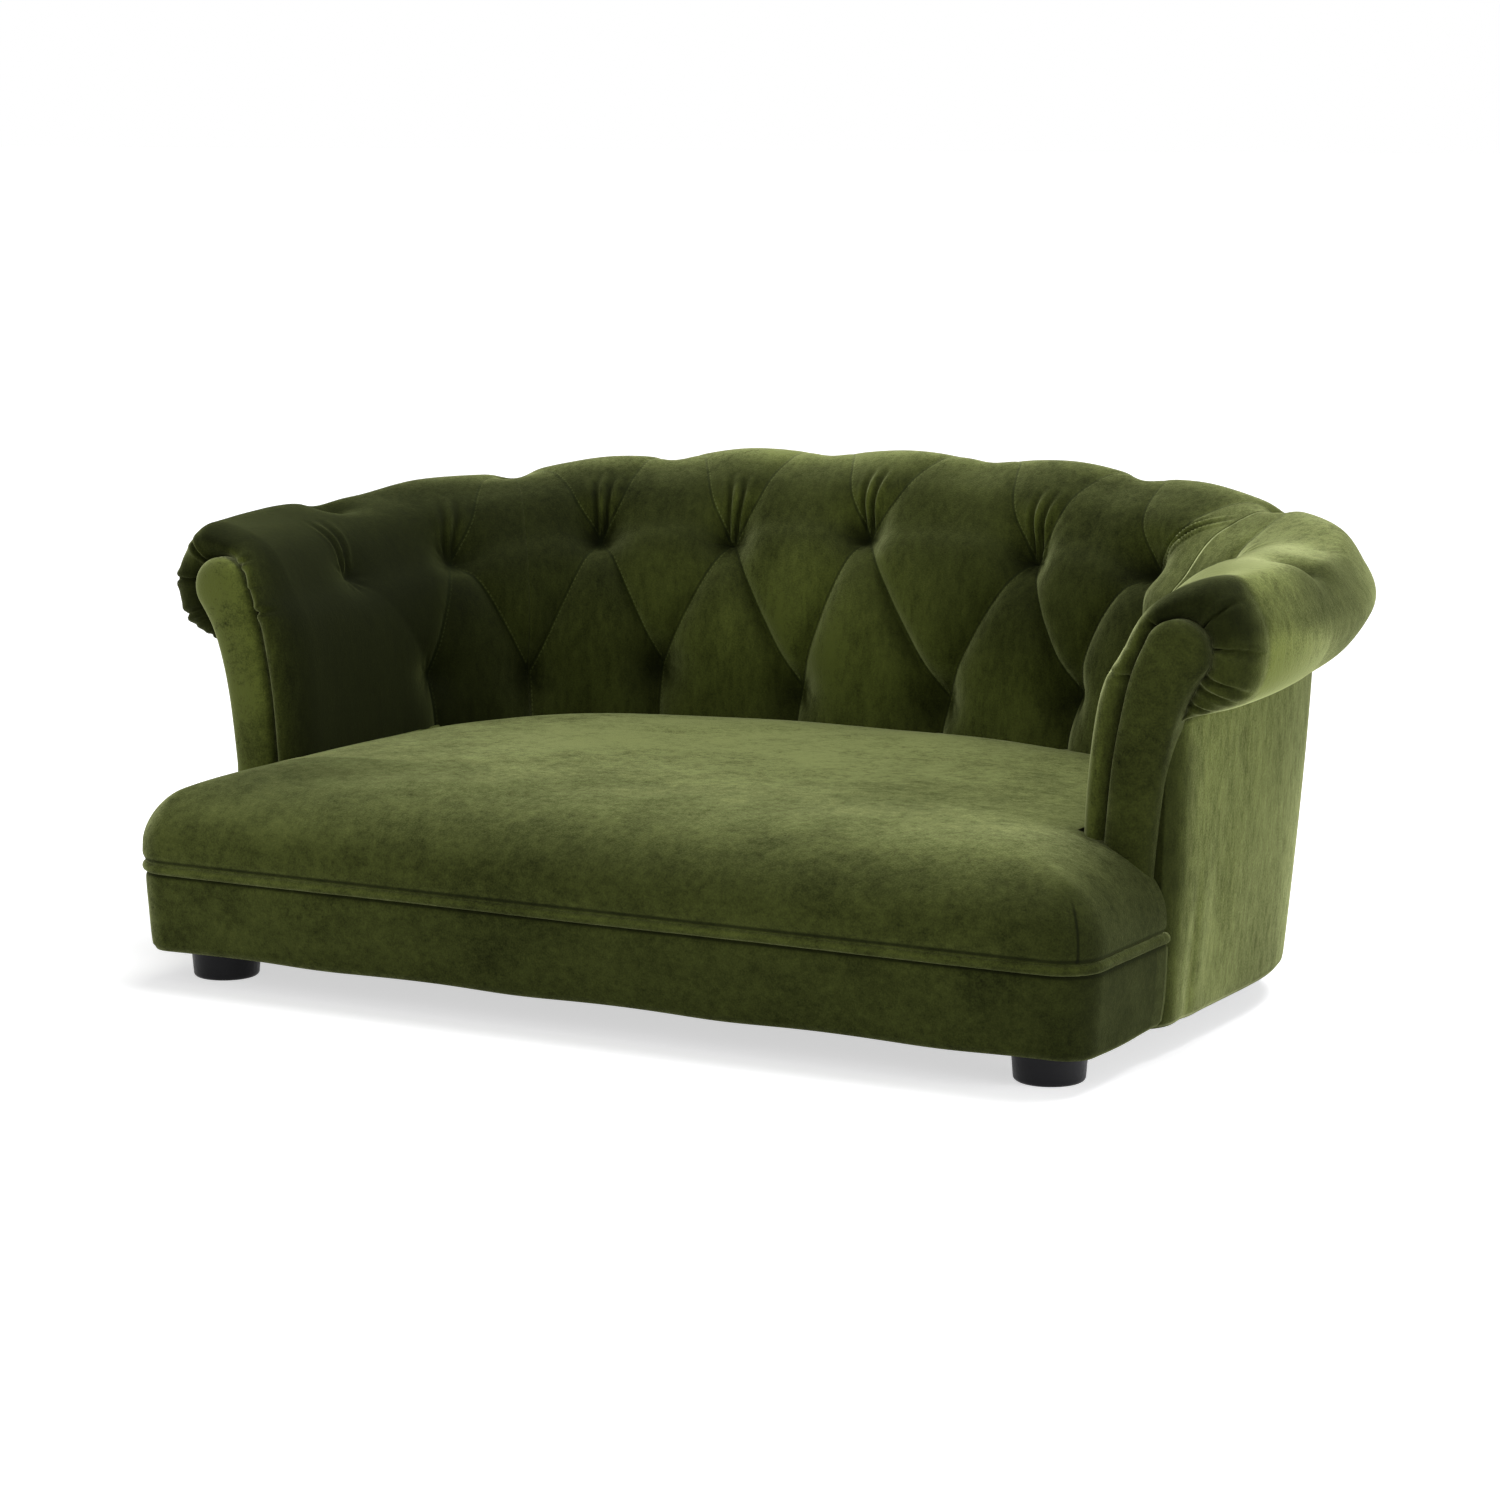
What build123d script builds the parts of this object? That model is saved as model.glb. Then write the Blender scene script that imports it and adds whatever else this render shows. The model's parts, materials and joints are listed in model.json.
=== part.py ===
from build123d import *
import math
import os

os.makedirs("parts", exist_ok=True)

# A small tufted sofa for a dog, in millimetres.
# The origin is on the floor under the middle; +X runs along the sofa, +Y points to the back.

# Floor, feet and base
foot_height = 25.0
foot_top_diameter = 50.0
foot_bottom_diameter = 46.0
foot_edge_round = 3.0
front_foot_side_inset = 45.0
front_foot_set_back = 48.4
rear_foot_place_share = 0.608525
rear_foot_inset = 62.0
bolt_diameter = 6.0
bolt_in_foot = 17.0
bolt_hole_clearance = 0.4
tee_nut_diameter = 16.0
tee_nut_flange = 1.5
dust_cover_thickness = 1.0
base_height = 78.0
base_half_width = 366.0
base_depth = 235.0
base_front_y = -255.9
base_corner_radius = 27.0
band_thickness = 5.0
band_taper = 4.0
panel_hem_drop = 4.0
rail_thickness = 20.0
rail_height = 49.0
stretcher_width = 45.0
block_length = 62.0
block_width = 56.0

# Plan of the arms and back: a rounded U about a centre line at arm_turn_y
arm_turn_y = -25.5
arm_front_y = -131.8
arm_width_at_base = 58.0
back_width_at_base = 47.0
roll_side_overhang = 71.0
roll_back_overhang = 50.0
inner_half_width = base_half_width - arm_width_at_base
inner_depth = base_depth - back_width_at_base
roll_half_width = base_half_width + roll_side_overhang
roll_depth = base_depth + roll_back_overhang
inner_plan_power = 2.6
base_plan_power = 3.8
roll_plan_power = 2.7
fan_power = 1.2
front_roll_taper = 24.0
panel_lean_front = 6.0
panel_lean_back = 20.0

# Heights of the arms and back
crest_height_back = 352.0
crest_height_arm = 312.5
crest_fall_length = 430.0
crest_fall_power = 1.5
pad_bottom_z = 96.0
roll_drop = 50.0
roll_height_arm = 92.0
roll_height_back = 80.0
roll_radius = 28.0

# Tufted pad
pad_thickness = 25.0
pad_top_thickness = 25.0
pad_side_thickness = 18.0
pad_end_thickness = 8.0
tuft_place_shares = (0, 0.118, 0.2375, 0.3365, 0.429, 0.526, 0.6214, 0.685, 0.8048)
lower_row_share = 0.216
upper_row_share = 0.462
crest_row_share = 0.685
crest_share = 0.76
tuft_depth = 12.0
channel_depth = 6.0
diamond_crown_back = 13.0
diamond_crown_arm = 9.0
lower_crown = 7.0
crest_crown = 3.0
crown_span_share = 0.2
button_width = 8.0
lip_round = 9.0
lip_length = 12.0
steps_between_tufts = 3
pad_gap = 0.3

# Boards, rails and posts inside
board_thickness = 7.0
board_knee_z = 200.0
top_rail_height = 18.0
post_width = 32.0
post_depth = 15.0
panel_thickness = 4.0
facing_thickness = 6.0
facing_pad = 5.0
facing_proud = 2.0
facing_bottom_z = 88.0

# Seat
seat_overhang_front = 3.6
seat_overhang_side = 2.5
seat_front_y = base_front_y - seat_overhang_front
seat_half_width = base_half_width + seat_overhang_side
seat_corner_radius = 30.0
seat_bottom_z = 78.0
seat_shoulder_z = 118.0
seat_centre_z = 158.0
seat_arm_z = 147.0
seat_side_z = 104.0
seat_side_power = 2.4
seat_back_fall = 4.0
seat_shoulder_inset = 7.0
seat_crown_inset = 42.0
seat_pad_clearance = 2.6
seat_cover_thickness = 3.0
welt_diameter = 7.4
welt_tuck = 3.4
web_width = 40.0
web_thickness = 1.4
web_gap = 22.0
web_landing = 3.0
long_web_place_shares = (0.04, 0.17, 0.42, 0.64, 0.77, 0.90)
cross_web_count = 9

bottom_z = foot_height + dust_cover_thickness
rail_top = bottom_z + rail_height
rail_x = base_half_width - band_thickness


def superellipse_point(turn, half_width, depth, power):
    """Point of a quarter superellipse: turn 0 is the middle of the back, a quarter turn the arm."""
    x = half_width * math.sin(turn) ** (2 / power)
    y = depth * max(0, math.cos(turn)) ** (2 / power)
    return x, arm_turn_y + y


def inner_path(steps=360):
    """Points of the inner plan line from the middle of the back round to the arm's front."""
    quarter = math.pi / 2
    points = [
        superellipse_point(quarter * i / steps, inner_half_width, inner_depth, inner_plan_power)
        for i in range(steps + 1)
    ]
    points.append((inner_half_width, arm_front_y))
    places = [0]
    for a, b in zip(points, points[1:]):
        places.append(places[-1] + math.dist(a, b))
    return points, places


path_points, path_places = inner_path()
path_length = path_places[-1]


def path_point(place):
    """Inner plan point at a distance along the path from the middle of the back."""
    for i in range(1, len(path_places)):
        if place <= path_places[i]:
            break
    share = (place - path_places[i - 1]) / (path_places[i] - path_places[i - 1])
    a, b = path_points[i - 1], path_points[i]
    return a[0] + (b[0] - a[0]) * share, a[1] + (b[1] - a[1]) * share


def reach_to(point, out, half_width, depth, power):
    """Distance from a plan point, along a direction, to a larger plan line."""
    low, high = 0, half_width
    for _ in range(50):
        middle = (low + high) / 2
        x = point[0] + out[0] * middle
        y = max(0, point[1] + out[1] * middle - arm_turn_y)
        inside = (x / half_width) ** power + (y / depth) ** power < 1
        low, high = (middle, high) if inside else (low, middle)
    return low


class Station:
    """One upright section plane across the arm or back, with its widths and crest height."""

    def __init__(self, place, side=1):
        self.place = place
        x, y = path_point(place)
        along = (x / inner_half_width) ** fan_power / inner_half_width
        deep = (max(0, y - arm_turn_y) / inner_depth) ** fan_power / inner_depth
        size = math.hypot(along, deep)
        out = (along / size, deep / size)
        forward = max(0, (arm_turn_y - y) / (arm_turn_y - arm_front_y))
        taper = front_roll_taper * forward**2
        self.roll = reach_to((x, y), out, roll_half_width, roll_depth, roll_plan_power) - taper
        self.base = reach_to((x, y), out, base_half_width, base_depth, base_plan_power)
        turn = min(1, place / path_length)
        self.lean = panel_lean_back + (panel_lean_front - panel_lean_back) * turn**4
        self.height = roll_height_back + (roll_height_arm - roll_height_back) * turn**4
        self.crown = diamond_crown_back + (diamond_crown_arm - diamond_crown_back) * turn
        fall = min(1, place / crest_fall_length) ** crest_fall_power
        rise = math.cos(math.pi / 2 * fall) ** 2
        self.crest = crest_height_arm + (crest_height_back - crest_height_arm) * rise
        self.point = (side * x, y)
        self.out = (side * out[0], out[1])

    def at(self, r, z):
        """Space point at a distance outward from the inner plan line, and a height."""
        return Vector(self.point[0] + self.out[0] * r, self.point[1] + self.out[1] * r, z)


def catmull(points, steps=8):
    """Smooth line through chosen points: a cubic through each pair that heeds both neighbours."""
    line = []
    ends = [points[0]] + points + [points[-1]]
    for a, b, c, d in zip(ends, ends[1:], ends[2:], ends[3:]):
        for i in range(steps):
            t = i / steps
            line.append(
                tuple(
                    0.5 * (2 * q + (s - p) * t + (2 * p - 5 * q + 4 * s - w) * t**2 + (3 * q - p - 3 * s + w) * t**3)
                    for p, q, s, w in zip(a, b, c, d)
                )
            )
    line.append(points[-1])
    return line


def face_line(station):
    """Untufted line of the pad's face: up the inside, over the crest and round under the roll."""
    top = station.crest
    height = station.height
    crest_r = station.roll - roll_radius
    return catmull(
        [
            (0, pad_bottom_z),
            (0, pad_bottom_z + (top - roll_height_arm - pad_bottom_z) * 0.55),
            (crest_r * 0.09, top - roll_height_arm * 0.87),
            (crest_r * 0.26, top - roll_height_arm * 0.55),
            (crest_r * 0.50, top - roll_height_arm * 0.20),
            (crest_r, top),
            (station.roll - roll_radius * 0.2, top - roll_drop * 0.42),
            (station.roll, top - roll_drop),
            (station.roll - roll_radius * 0.35, top - height * 0.86),
            (station.base + station.lean, top - height),
        ]
    )


def on_line(line, share, push=0):
    """Point at a share of a line's length, pushed out of the sofa by a distance."""
    lengths = [0]
    for a, b in zip(line, line[1:]):
        lengths.append(lengths[-1] + math.dist(a, b))
    target = share * lengths[-1]
    i = 1
    while i < len(lengths) - 1 and lengths[i] < target:
        i += 1
    part = (target - lengths[i - 1]) / (lengths[i] - lengths[i - 1])
    a, b = line[i - 1], line[i]
    step = math.dist(a, b)
    normal = (-(b[1] - a[1]) / step, (b[0] - a[0]) / step)
    return (
        a[0] + (b[0] - a[0]) * part + normal[0] * push,
        a[1] + (b[1] - a[1]) * part + normal[1] * push,
    )


def core_line(station, gap=0):
    """Back of the pad, which is also the outline of what it wraps, drawn in by a gap."""
    top = station.crest
    height = station.height
    crest_r = station.roll - roll_radius
    panel = station.base + station.lean
    inner_top = pad_thickness + crest_r * 0.08
    return [
        (pad_thickness + gap, pad_bottom_z),
        (pad_thickness + gap, board_knee_z),
        (inner_top + gap, top - height * 0.87),
        (pad_thickness + crest_r * 0.25 + gap, top - height * 0.52),
        (crest_r - pad_thickness * 0.4, top - pad_top_thickness - gap),
        (station.roll - pad_side_thickness * 1.5 - gap, top - pad_top_thickness * 1.25 - gap),
        (station.roll - pad_side_thickness - gap, top - roll_drop * 0.9),
        (station.roll - pad_side_thickness * 1.9 - gap, top - height * 0.74),
        (panel - pad_end_thickness * 0.5 - gap, top - height + pad_end_thickness),
    ]


def board_face(station, z, gap):
    """Distance of the lining board's inner face at a height, a gap behind the pad."""
    line = core_line(station, gap)
    r0, z0 = line[1]
    r1, z1 = line[2]
    return r0 + (r1 - r0) * max(0, z - z0) / (z1 - z0)


def core_edges(points):
    """Edges along placed core points: straight, with one arc over the round head."""
    edges = [Edge.make_line(a, b) for a, b in zip(points[:4], points[1:5])]
    edges.append(Edge.make_three_point_arc(points[4], points[5], points[6]))
    edges.extend(Edge.make_line(a, b) for a, b in zip(points[6:], points[7:]))
    return edges


def seam_shares(phase):
    """Where the two sewn channels cross a section, from its phase: 0 at upper tufts, 1 between."""
    lower = upper_row_share + (lower_row_share - upper_row_share) * phase
    upper = upper_row_share + (crest_row_share - upper_row_share) * phase
    return lower, upper


def pad_outline(station, phase, depth, shrink=0, fullness=1):
    """Edges of the pad's section: two channels, three crowned fields, the roll and the back."""
    line = face_line(station)
    height = sum(math.dist(a, b) for a, b in zip(line, line[1:]))
    half_button = button_width / 2 / height
    lower, upper = seam_shares(phase)
    shares = [0, lower - half_button, upper + half_button, crest_share + half_button, 0.88, 1]
    pushes = [0, -depth, -depth, 0, 0, 0]
    knots = [on_line(line, s, p - shrink) for s, p in zip(shares, pushes)]
    knots[0] = (shrink, pad_bottom_z)
    crowns = [lower_crown, station.crown, crest_crown, 0, 0]
    edges = []
    for i, (a, b) in enumerate(zip(shares, shares[1:])):
        span = (b - a) * height
        crown = min(crowns[i], span * crown_span_share) * fullness
        middle = on_line(line, (a + b) / 2, crown - shrink)
        edges.append(Edge.make_three_point_arc(station.at(*knots[i]), station.at(*middle), station.at(*knots[i + 1])))
    back = [station.at(*point) for point in core_line(station)]
    edges.append(Edge.make_line(station.at(*knots[-1]), back[-1]))
    edges.extend(core_edges(back)[::-1])
    edges.append(Edge.make_line(back[0], station.at(*knots[0])))
    return Wire(edges)


def polygon(station, points):
    """Closed wire through section points."""
    placed = [station.at(r, z) for r, z in points]
    return Wire([Edge.make_line(a, b) for a, b in zip(placed, placed[1:] + placed[:1])])


def carried(stations, outline):
    """Solid that a section makes as it is carried from station to station."""
    return Solid.make_loft([outline(s) for s in stations], ruled=True)


def tuft_stations():
    """Places of all pad sections on one side: (place, phase, depth share) from the middle."""
    rows = []
    for i, (a, b) in enumerate(zip(tuft_place_shares, tuft_place_shares[1:])):
        for k in range(steps_between_tufts):
            t = k / steps_between_tufts
            phase = t if i % 2 == 0 else 1 - t
            depth = tuft_depth if k == 0 else channel_depth
            rows.append(((a + (b - a) * t) * path_length, phase, depth))
    rows.append((tuft_place_shares[-1] * path_length, 0, tuft_depth))
    return rows


seam_rows = tuft_stations()
corner_row = 5 * steps_between_tufts
corner_place = seam_rows[corner_row][0]


def mirrored(place):
    """Station at a place that may be negative, on the left of the middle."""
    return Station(abs(place), -1 if place < 0 else 1)


def back_pad():
    """Tufted pad of the back, between the two corner channels."""
    rows = seam_rows[: corner_row + 1]
    left = [(-p, f, d) for p, f, d in rows[:0:-1]]
    wires = [pad_outline(mirrored(p), f, d) for p, f, d in left + rows]
    return Solid.make_loft(wires, ruled=True)


def arm_pad(side):
    """Tufted pad of one arm, from the corner channel to the rounded lip at its front."""
    gap = pad_gap
    wires = []
    for place, phase, depth in seam_rows[corner_row:]:
        start = gap if place == corner_place else 0
        wires.append(pad_outline(Station(place + start, side), phase, depth))
    for i, place in enumerate(plain_places):
        fade = (3 - i) / 4
        wires.append(pad_outline(Station(place, side), 0, channel_depth * fade, 0, fade))
    for share in (0.6, 1):
        shrink = lip_round * (1 - math.sqrt(1 - (0.95 * share) ** 2))
        wires.append(pad_outline(Station(lip_place + lip_length * share, side), 0, 0, shrink, 0))
    return Solid.make_loft(wires, ruled=True)


def spread(start, end, count):
    """Evenly spaced places from start to end."""
    return [start + (end - start) * i / count for i in range(count + 1)]


back_places = [-p for p, _, _ in seam_rows[corner_row:0:-1]] + [p for p, _, _ in seam_rows[: corner_row + 1]]
post_front = path_length - facing_thickness - facing_pad - pad_gap * 4
lip_place = path_length - lip_length
last_tuft = tuft_place_shares[-1] * path_length
plain_places = [last_tuft + (lip_place - last_tuft) * share for share in (0.25, 0.5, 0.75, 1)]
arm_places = [p for p, _, _ in seam_rows[corner_row:]] + plain_places


def stations_of(part):
    """Section planes of the back or of one arm's hidden pieces, just clear of each other."""
    if part == "back":
        return [mirrored(p) for p in back_places]
    side = 1 if part == "right" else -1
    places = [arm_places[0] + pad_gap] + arm_places[1:]
    return [Station(p, side) for p in places]


def board_outline(station):
    """Plywood lining that the pad is stapled to."""
    top = station.crest - station.height + pad_end_thickness - pad_gap
    bottom = rail_top + web_thickness * 2 + pad_gap
    heights = (bottom, board_knee_z, top)
    face = [(board_face(station, z, pad_gap), z) for z in heights]
    back = [(r + board_thickness, z) for r, z in face]
    return polygon(station, face + back[::-1])


def core_outline(station):
    """Foam roll under the pad, standing on the top rail and the lining board."""
    line = core_line(station, pad_gap * 3)
    floor = line[-1][1]
    start = (board_face(station, floor, pad_gap * 3), floor)
    points = [station.at(*point) for point in [start] + line[2:]]
    edges = [Edge.make_line(a, b) for a, b in zip(points[:3], points[1:4])]
    edges.append(Edge.make_three_point_arc(points[3], points[4], points[5]))
    edges.extend(Edge.make_line(a, b) for a, b in zip(points[5:], points[6:] + points[:1]))
    return Wire(edges)


def rail_outline(station):
    """Wooden rail along the top of the arm or back, between lining and outside panel."""
    top = station.crest - station.height + pad_end_thickness - pad_gap
    bottom = top - top_rail_height
    inner = board_face(station, top, pad_gap * 3) + board_thickness
    outer = station.base + station.lean - panel_thickness - pad_gap * 3
    return polygon(station, [(inner, bottom), (inner, top), (outer, top), (outer, bottom)])


def panel_outline(station):
    """Outside panel of card, wadding and velvet, from the hem to the underside of the roll."""
    top = station.crest - station.height - pad_gap
    hem = foot_height - panel_hem_drop
    outer = station.base
    lean = station.lean
    t = panel_thickness
    return polygon(
        station,
        [(outer - t, hem), (outer, hem), (outer + lean, top), (outer + lean - t, top)],
    )


def post_outline(station):
    """Upright post between the base rail and the top rail."""
    bottom = rail_top
    top = station.crest - station.height + pad_end_thickness - top_rail_height - pad_gap * 2
    outer = station.base - panel_thickness - pad_gap * 3
    heights = (bottom, board_knee_z, top)
    face = []
    for z in heights:
        behind_board = board_face(station, z, pad_gap * 3) + board_thickness
        face.append((max(behind_board, outer - post_depth), z))
    return polygon(station, face + [(outer, top), (outer, bottom)])


def base_rail_outline(station):
    """Base rail that follows the plan of the sofa, just inside the outside panel."""
    outer = station.base - panel_thickness - pad_gap * 3
    inner = outer - rail_thickness
    return polygon(station, [(inner, bottom_z), (inner, rail_top), (outer, rail_top), (outer, bottom_z)])


def foot_block_outline(station):
    """Block that carries a rear foot, along the inside of the base rail."""
    outer = station.base - panel_thickness - pad_gap * 5 - rail_thickness
    inner = outer - block_width
    top = rail_top - rail_thickness
    return polygon(station, [(inner, bottom_z), (inner, top), (outer, top), (outer, bottom_z)])


def block(x0, x1, y0, y1, z0, z1):
    """Box between two corners."""
    return Pos((x0 + x1) / 2, (y0 + y1) / 2, (z0 + z1) / 2) * Box(abs(x1 - x0), abs(y1 - y0), abs(z1 - z0))


def rounded_front(half_width, front_y, back_y, radius, z):
    """Wire of a base outline: straight front, two round corners, straight sides."""
    w, f, b, r = half_width, front_y, back_y, radius
    k = r * (1 - math.sqrt(0.5))
    return [
        Edge.make_line((w, b, z), (w, f + r, z)),
        Edge.make_three_point_arc((w, f + r, z), (w - k, f + k, z), (w - r, f, z)),
        Edge.make_line((w - r, f, z), (r - w, f, z)),
        Edge.make_three_point_arc((r - w, f, z), (k - w, f + k, z), (-w, f + r, z)),
        Edge.make_line((-w, f + r, z), (-w, b, z)),
    ]


def base_band():
    """Velvet band round the front of the base, a little tucked under at the hem."""
    back_y = arm_front_y - pad_gap

    def plate(z, inset):
        w, front = base_half_width - inset, base_front_y + inset
        edges = rounded_front(w, front, back_y, base_corner_radius - inset, z)
        return Wire(edges + [Edge.make_line((-w, back_y, z), (w, back_y, z))])

    outside = Solid.make_loft([plate(foot_height, band_taper), plate(base_height, 0)], ruled=True)
    w, front = base_half_width - band_thickness, base_front_y + band_thickness
    edges = rounded_front(w, front, back_y + band_thickness, base_corner_radius - band_thickness, 0)
    hollow = Face(Wire(edges + [Edge.make_line((-w, back_y + band_thickness, 0), (w, back_y + band_thickness, 0))]))
    return outside - Solid.extrude(hollow, Vector(0, 0, base_height * 2))


def welt():
    """Piped cord along the top of the band."""
    r = welt_diameter / 2
    z = base_height + r
    w = base_half_width + r - welt_tuck
    front = base_front_y - r + welt_tuck
    path = Wire(rounded_front(w, front, arm_front_y - pad_gap, base_corner_radius, z))
    start = Plane(origin=path @ 0, z_dir=path % 0)
    return sweep(start * Circle(r), path=path)


def seat_height(x):
    """Height of the crown: highest in the middle, lower towards the arms and the ends."""
    across = abs(x) / seat_half_width
    knee = inner_half_width / seat_half_width
    inner = seat_centre_z - (seat_centre_z - seat_arm_z) * min(1, across / knee) ** 2
    if across < knee:
        return inner
    return inner - (seat_arm_z - seat_side_z) * ((across - knee) / (1 - knee)) ** seat_side_power


def seat_section(x, inset, back_y=None):
    """Front-to-back section of the seat: side wall over the welt, shoulder and crown."""
    edge = seat_half_width - inset - abs(x)
    r = seat_corner_radius
    corner = r - math.sqrt(r**2 - (r - edge) ** 2) if edge < r else 0
    front = seat_front_y + corner + inset
    top = seat_height(x) - inset
    fullness = min(1, (top - seat_bottom_z) / (seat_arm_z - seat_bottom_z))
    shoulder = seat_bottom_z + (seat_shoulder_z - seat_bottom_z) * fullness - inset
    low = seat_bottom_z + inset
    wing = arm_front_y - facing_proud - pad_gap - inset
    points = [
        (front + seat_shoulder_inset * 0.4, low),
        (front + seat_shoulder_inset, shoulder),
        (front + seat_crown_inset, shoulder + (top - shoulder) * 0.6),
        (wing, top - (top - shoulder) * 0.06),
    ]
    place = [Vector(x, y, z) for y, z in points]
    bulge = Vector(x, front, (low + shoulder) / 2)
    knee = Vector(
        x,
        front + seat_shoulder_inset + (seat_crown_inset - seat_shoulder_inset) * 0.42,
        shoulder + (top - shoulder) * 0.38,
    )
    crown = Vector(x, (points[2][0] + wing) / 2, points[2][1] + (points[3][1] - points[2][1]) * 0.68)
    edges = [
        Edge.make_three_point_arc(place[0], bulge, place[1]),
        Edge.make_three_point_arc(place[1], knee, place[2]),
        Edge.make_three_point_arc(place[2], crown, place[3]),
    ]
    last = place[3]
    if back_y is not None:
        last = Vector(x, back_y, top - seat_back_fall)
        middle = Vector(x, (wing + back_y) / 2, top)
        edges.append(Edge.make_three_point_arc(place[3], middle, last))
    foot = Vector(x, last.Y, low)
    edges.append(Edge.make_line(last, foot))
    edges.append(Edge.make_line(foot, place[0]))
    return Wire(edges)


def seat_back_y(x, press):
    """Back edge of the seat at a distance from the middle, pressed into the pads by a length."""
    share = min(1, abs(x) / (inner_half_width - press))
    return arm_turn_y + (inner_depth - press) * (1 - share**inner_plan_power) ** (1 / inner_plan_power)


def welt_channel(inset):
    """Space outside the base line that the welt lies in, to cut from the seat's lower edge."""
    w = base_half_width - welt_tuck - pad_gap - inset
    front = base_front_y + welt_tuck + pad_gap + inset
    z = seat_bottom_z
    height = welt_diameter + pad_gap + inset
    edges = rounded_front(w, front, arm_front_y, base_corner_radius - welt_tuck, z)
    plate = Face(Wire(edges + [Edge.make_line((-w, arm_front_y, z), (w, arm_front_y, z))]))
    reach = base_corner_radius
    around = block(-w - reach, w + reach, front - reach, arm_front_y, z, z + height)
    return around - Solid.extrude(plate, Vector(0, 0, height))


def seat_form(inset):
    """T-shaped crowned form of the seat, drawn in all round by an inset."""
    press = lower_crown + seat_pad_clearance + inset
    inner = inner_half_width - press
    wires = []
    for bay in spread(-1, 1, 20):
        x = inner * math.sin(math.pi / 2 * bay)
        wires.append(seat_section(x, inset, seat_back_y(x, press)))
    form = Solid.make_loft(wires, ruled=True)
    edge = seat_half_width - inset
    curve = seat_corner_radius * 0.98
    places = [inner] + [edge - seat_corner_radius + curve * math.sin(math.pi / 12 * k) for k in range(7)]
    for side in (-1, 1):
        form = form + Solid.make_loft([seat_section(side * x, inset) for x in places], ruled=True)
    return form - welt_channel(inset)


def facing_solid(side, front_y, depth, inset):
    """Scroll-shaped plate of the arm's front, inside the pad's lip, with a round head."""
    gap = pad_gap * 4 + inset
    line = core_line(Station(path_length), gap)
    line[0] = (line[0][0], facing_bottom_z)
    outer = base_half_width - panel_thickness - gap - inner_half_width
    line += [(outer, board_knee_z), (outer, facing_bottom_z)]
    points = [Vector(side * (inner_half_width + r), front_y, z) for r, z in line]
    edges = core_edges(points) + [Edge.make_line(points[-1], points[0])]
    return Solid.extrude(Face(Wire(edges)), Vector(0, depth, 0))


# Pads, foam rolls, boards and panels round the U
parts = {"back_pad": back_pad()}
for name, side in (("left", -1), ("right", 1)):
    parts[name + "_arm_pad"] = arm_pad(side)
for name in ("left", "back", "right"):
    sections = stations_of(name)
    end = "_arm" if name != "back" else ""
    parts[name + end + "_board"] = carried(sections, board_outline)
    parts[name + end + "_roll_core"] = carried(sections, core_outline)
    parts[name + end + "_top_rail"] = carried(sections, rail_outline)

# Outside panels, which run on to the arm's front edge
for name, side in (("left", -1), ("right", 1)):
    places = [corner_place + pad_gap] + arm_places[1:] + [path_length]
    parts["outside_" + name + "_panel"] = carried([Station(p, side) for p in places], panel_outline)
parts["outside_back_panel"] = carried(stations_of("back"), panel_outline)

# Front scroll panels: plywood shape with a padded velvet facing
for name, side in (("left", -1), ("right", 1)):
    board_y = arm_front_y + facing_pad - facing_proud
    parts[name + "_facing"] = facing_solid(side, arm_front_y - facing_proud, facing_pad - pad_gap, 0)
    parts[name + "_facing_board"] = facing_solid(side, board_y, facing_thickness, facing_proud)

# Posts of the arms and back, standing on the base rails
turn_place = path_length - (arm_turn_y - arm_front_y)
for name, side in (("left", -1), ("right", 1)):
    front = post_front - pad_gap
    parts[name + "_arm_posts"] = Compound(
        [
            carried([Station(p, side) for p in spread(front - post_width, front, 4)], post_outline),
            carried([Station(p, side) for p in spread(turn_place - post_width, turn_place, 4)], post_outline),
        ]
    )
post_place = tuft_place_shares[3] * path_length
parts["back_posts"] = Compound(
    [
        carried([mirrored(q) for q in spread(p - post_width / 2, p + post_width / 2, 4)], post_outline)
        for p in (-post_place, 0, post_place)
    ]
)

# Base frame
for name, side in (("left", -1), ("right", 1)):
    parts[name + "_side_rail"] = block(
        side * rail_x,
        side * (rail_x - rail_thickness),
        base_front_y + band_thickness + base_corner_radius,
        arm_turn_y,
        bottom_z,
        rail_top,
    )
    places = spread(turn_place - pad_gap, corner_place * 0.72, 24)
    parts[name + "_corner_rail"] = carried([Station(p, side) for p in places], base_rail_outline)
parts["rear_rail"] = carried(
    [mirrored(p) for p in spread(-corner_place * 0.72 + pad_gap, corner_place * 0.72 - pad_gap, 48)], base_rail_outline
)
front_inner = base_front_y + band_thickness + rail_thickness
parts["front_rail"] = block(
    rail_x - base_corner_radius,
    base_corner_radius - rail_x,
    base_front_y + band_thickness,
    front_inner,
    bottom_z,
    rail_top,
)
rear_inner = arm_turn_y + base_depth - panel_thickness - pad_gap * 4 - rail_thickness
parts["centre_stretcher"] = block(
    -stretcher_width / 2, stretcher_width / 2, front_inner, rear_inner, rail_top - rail_thickness, rail_top
)

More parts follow.
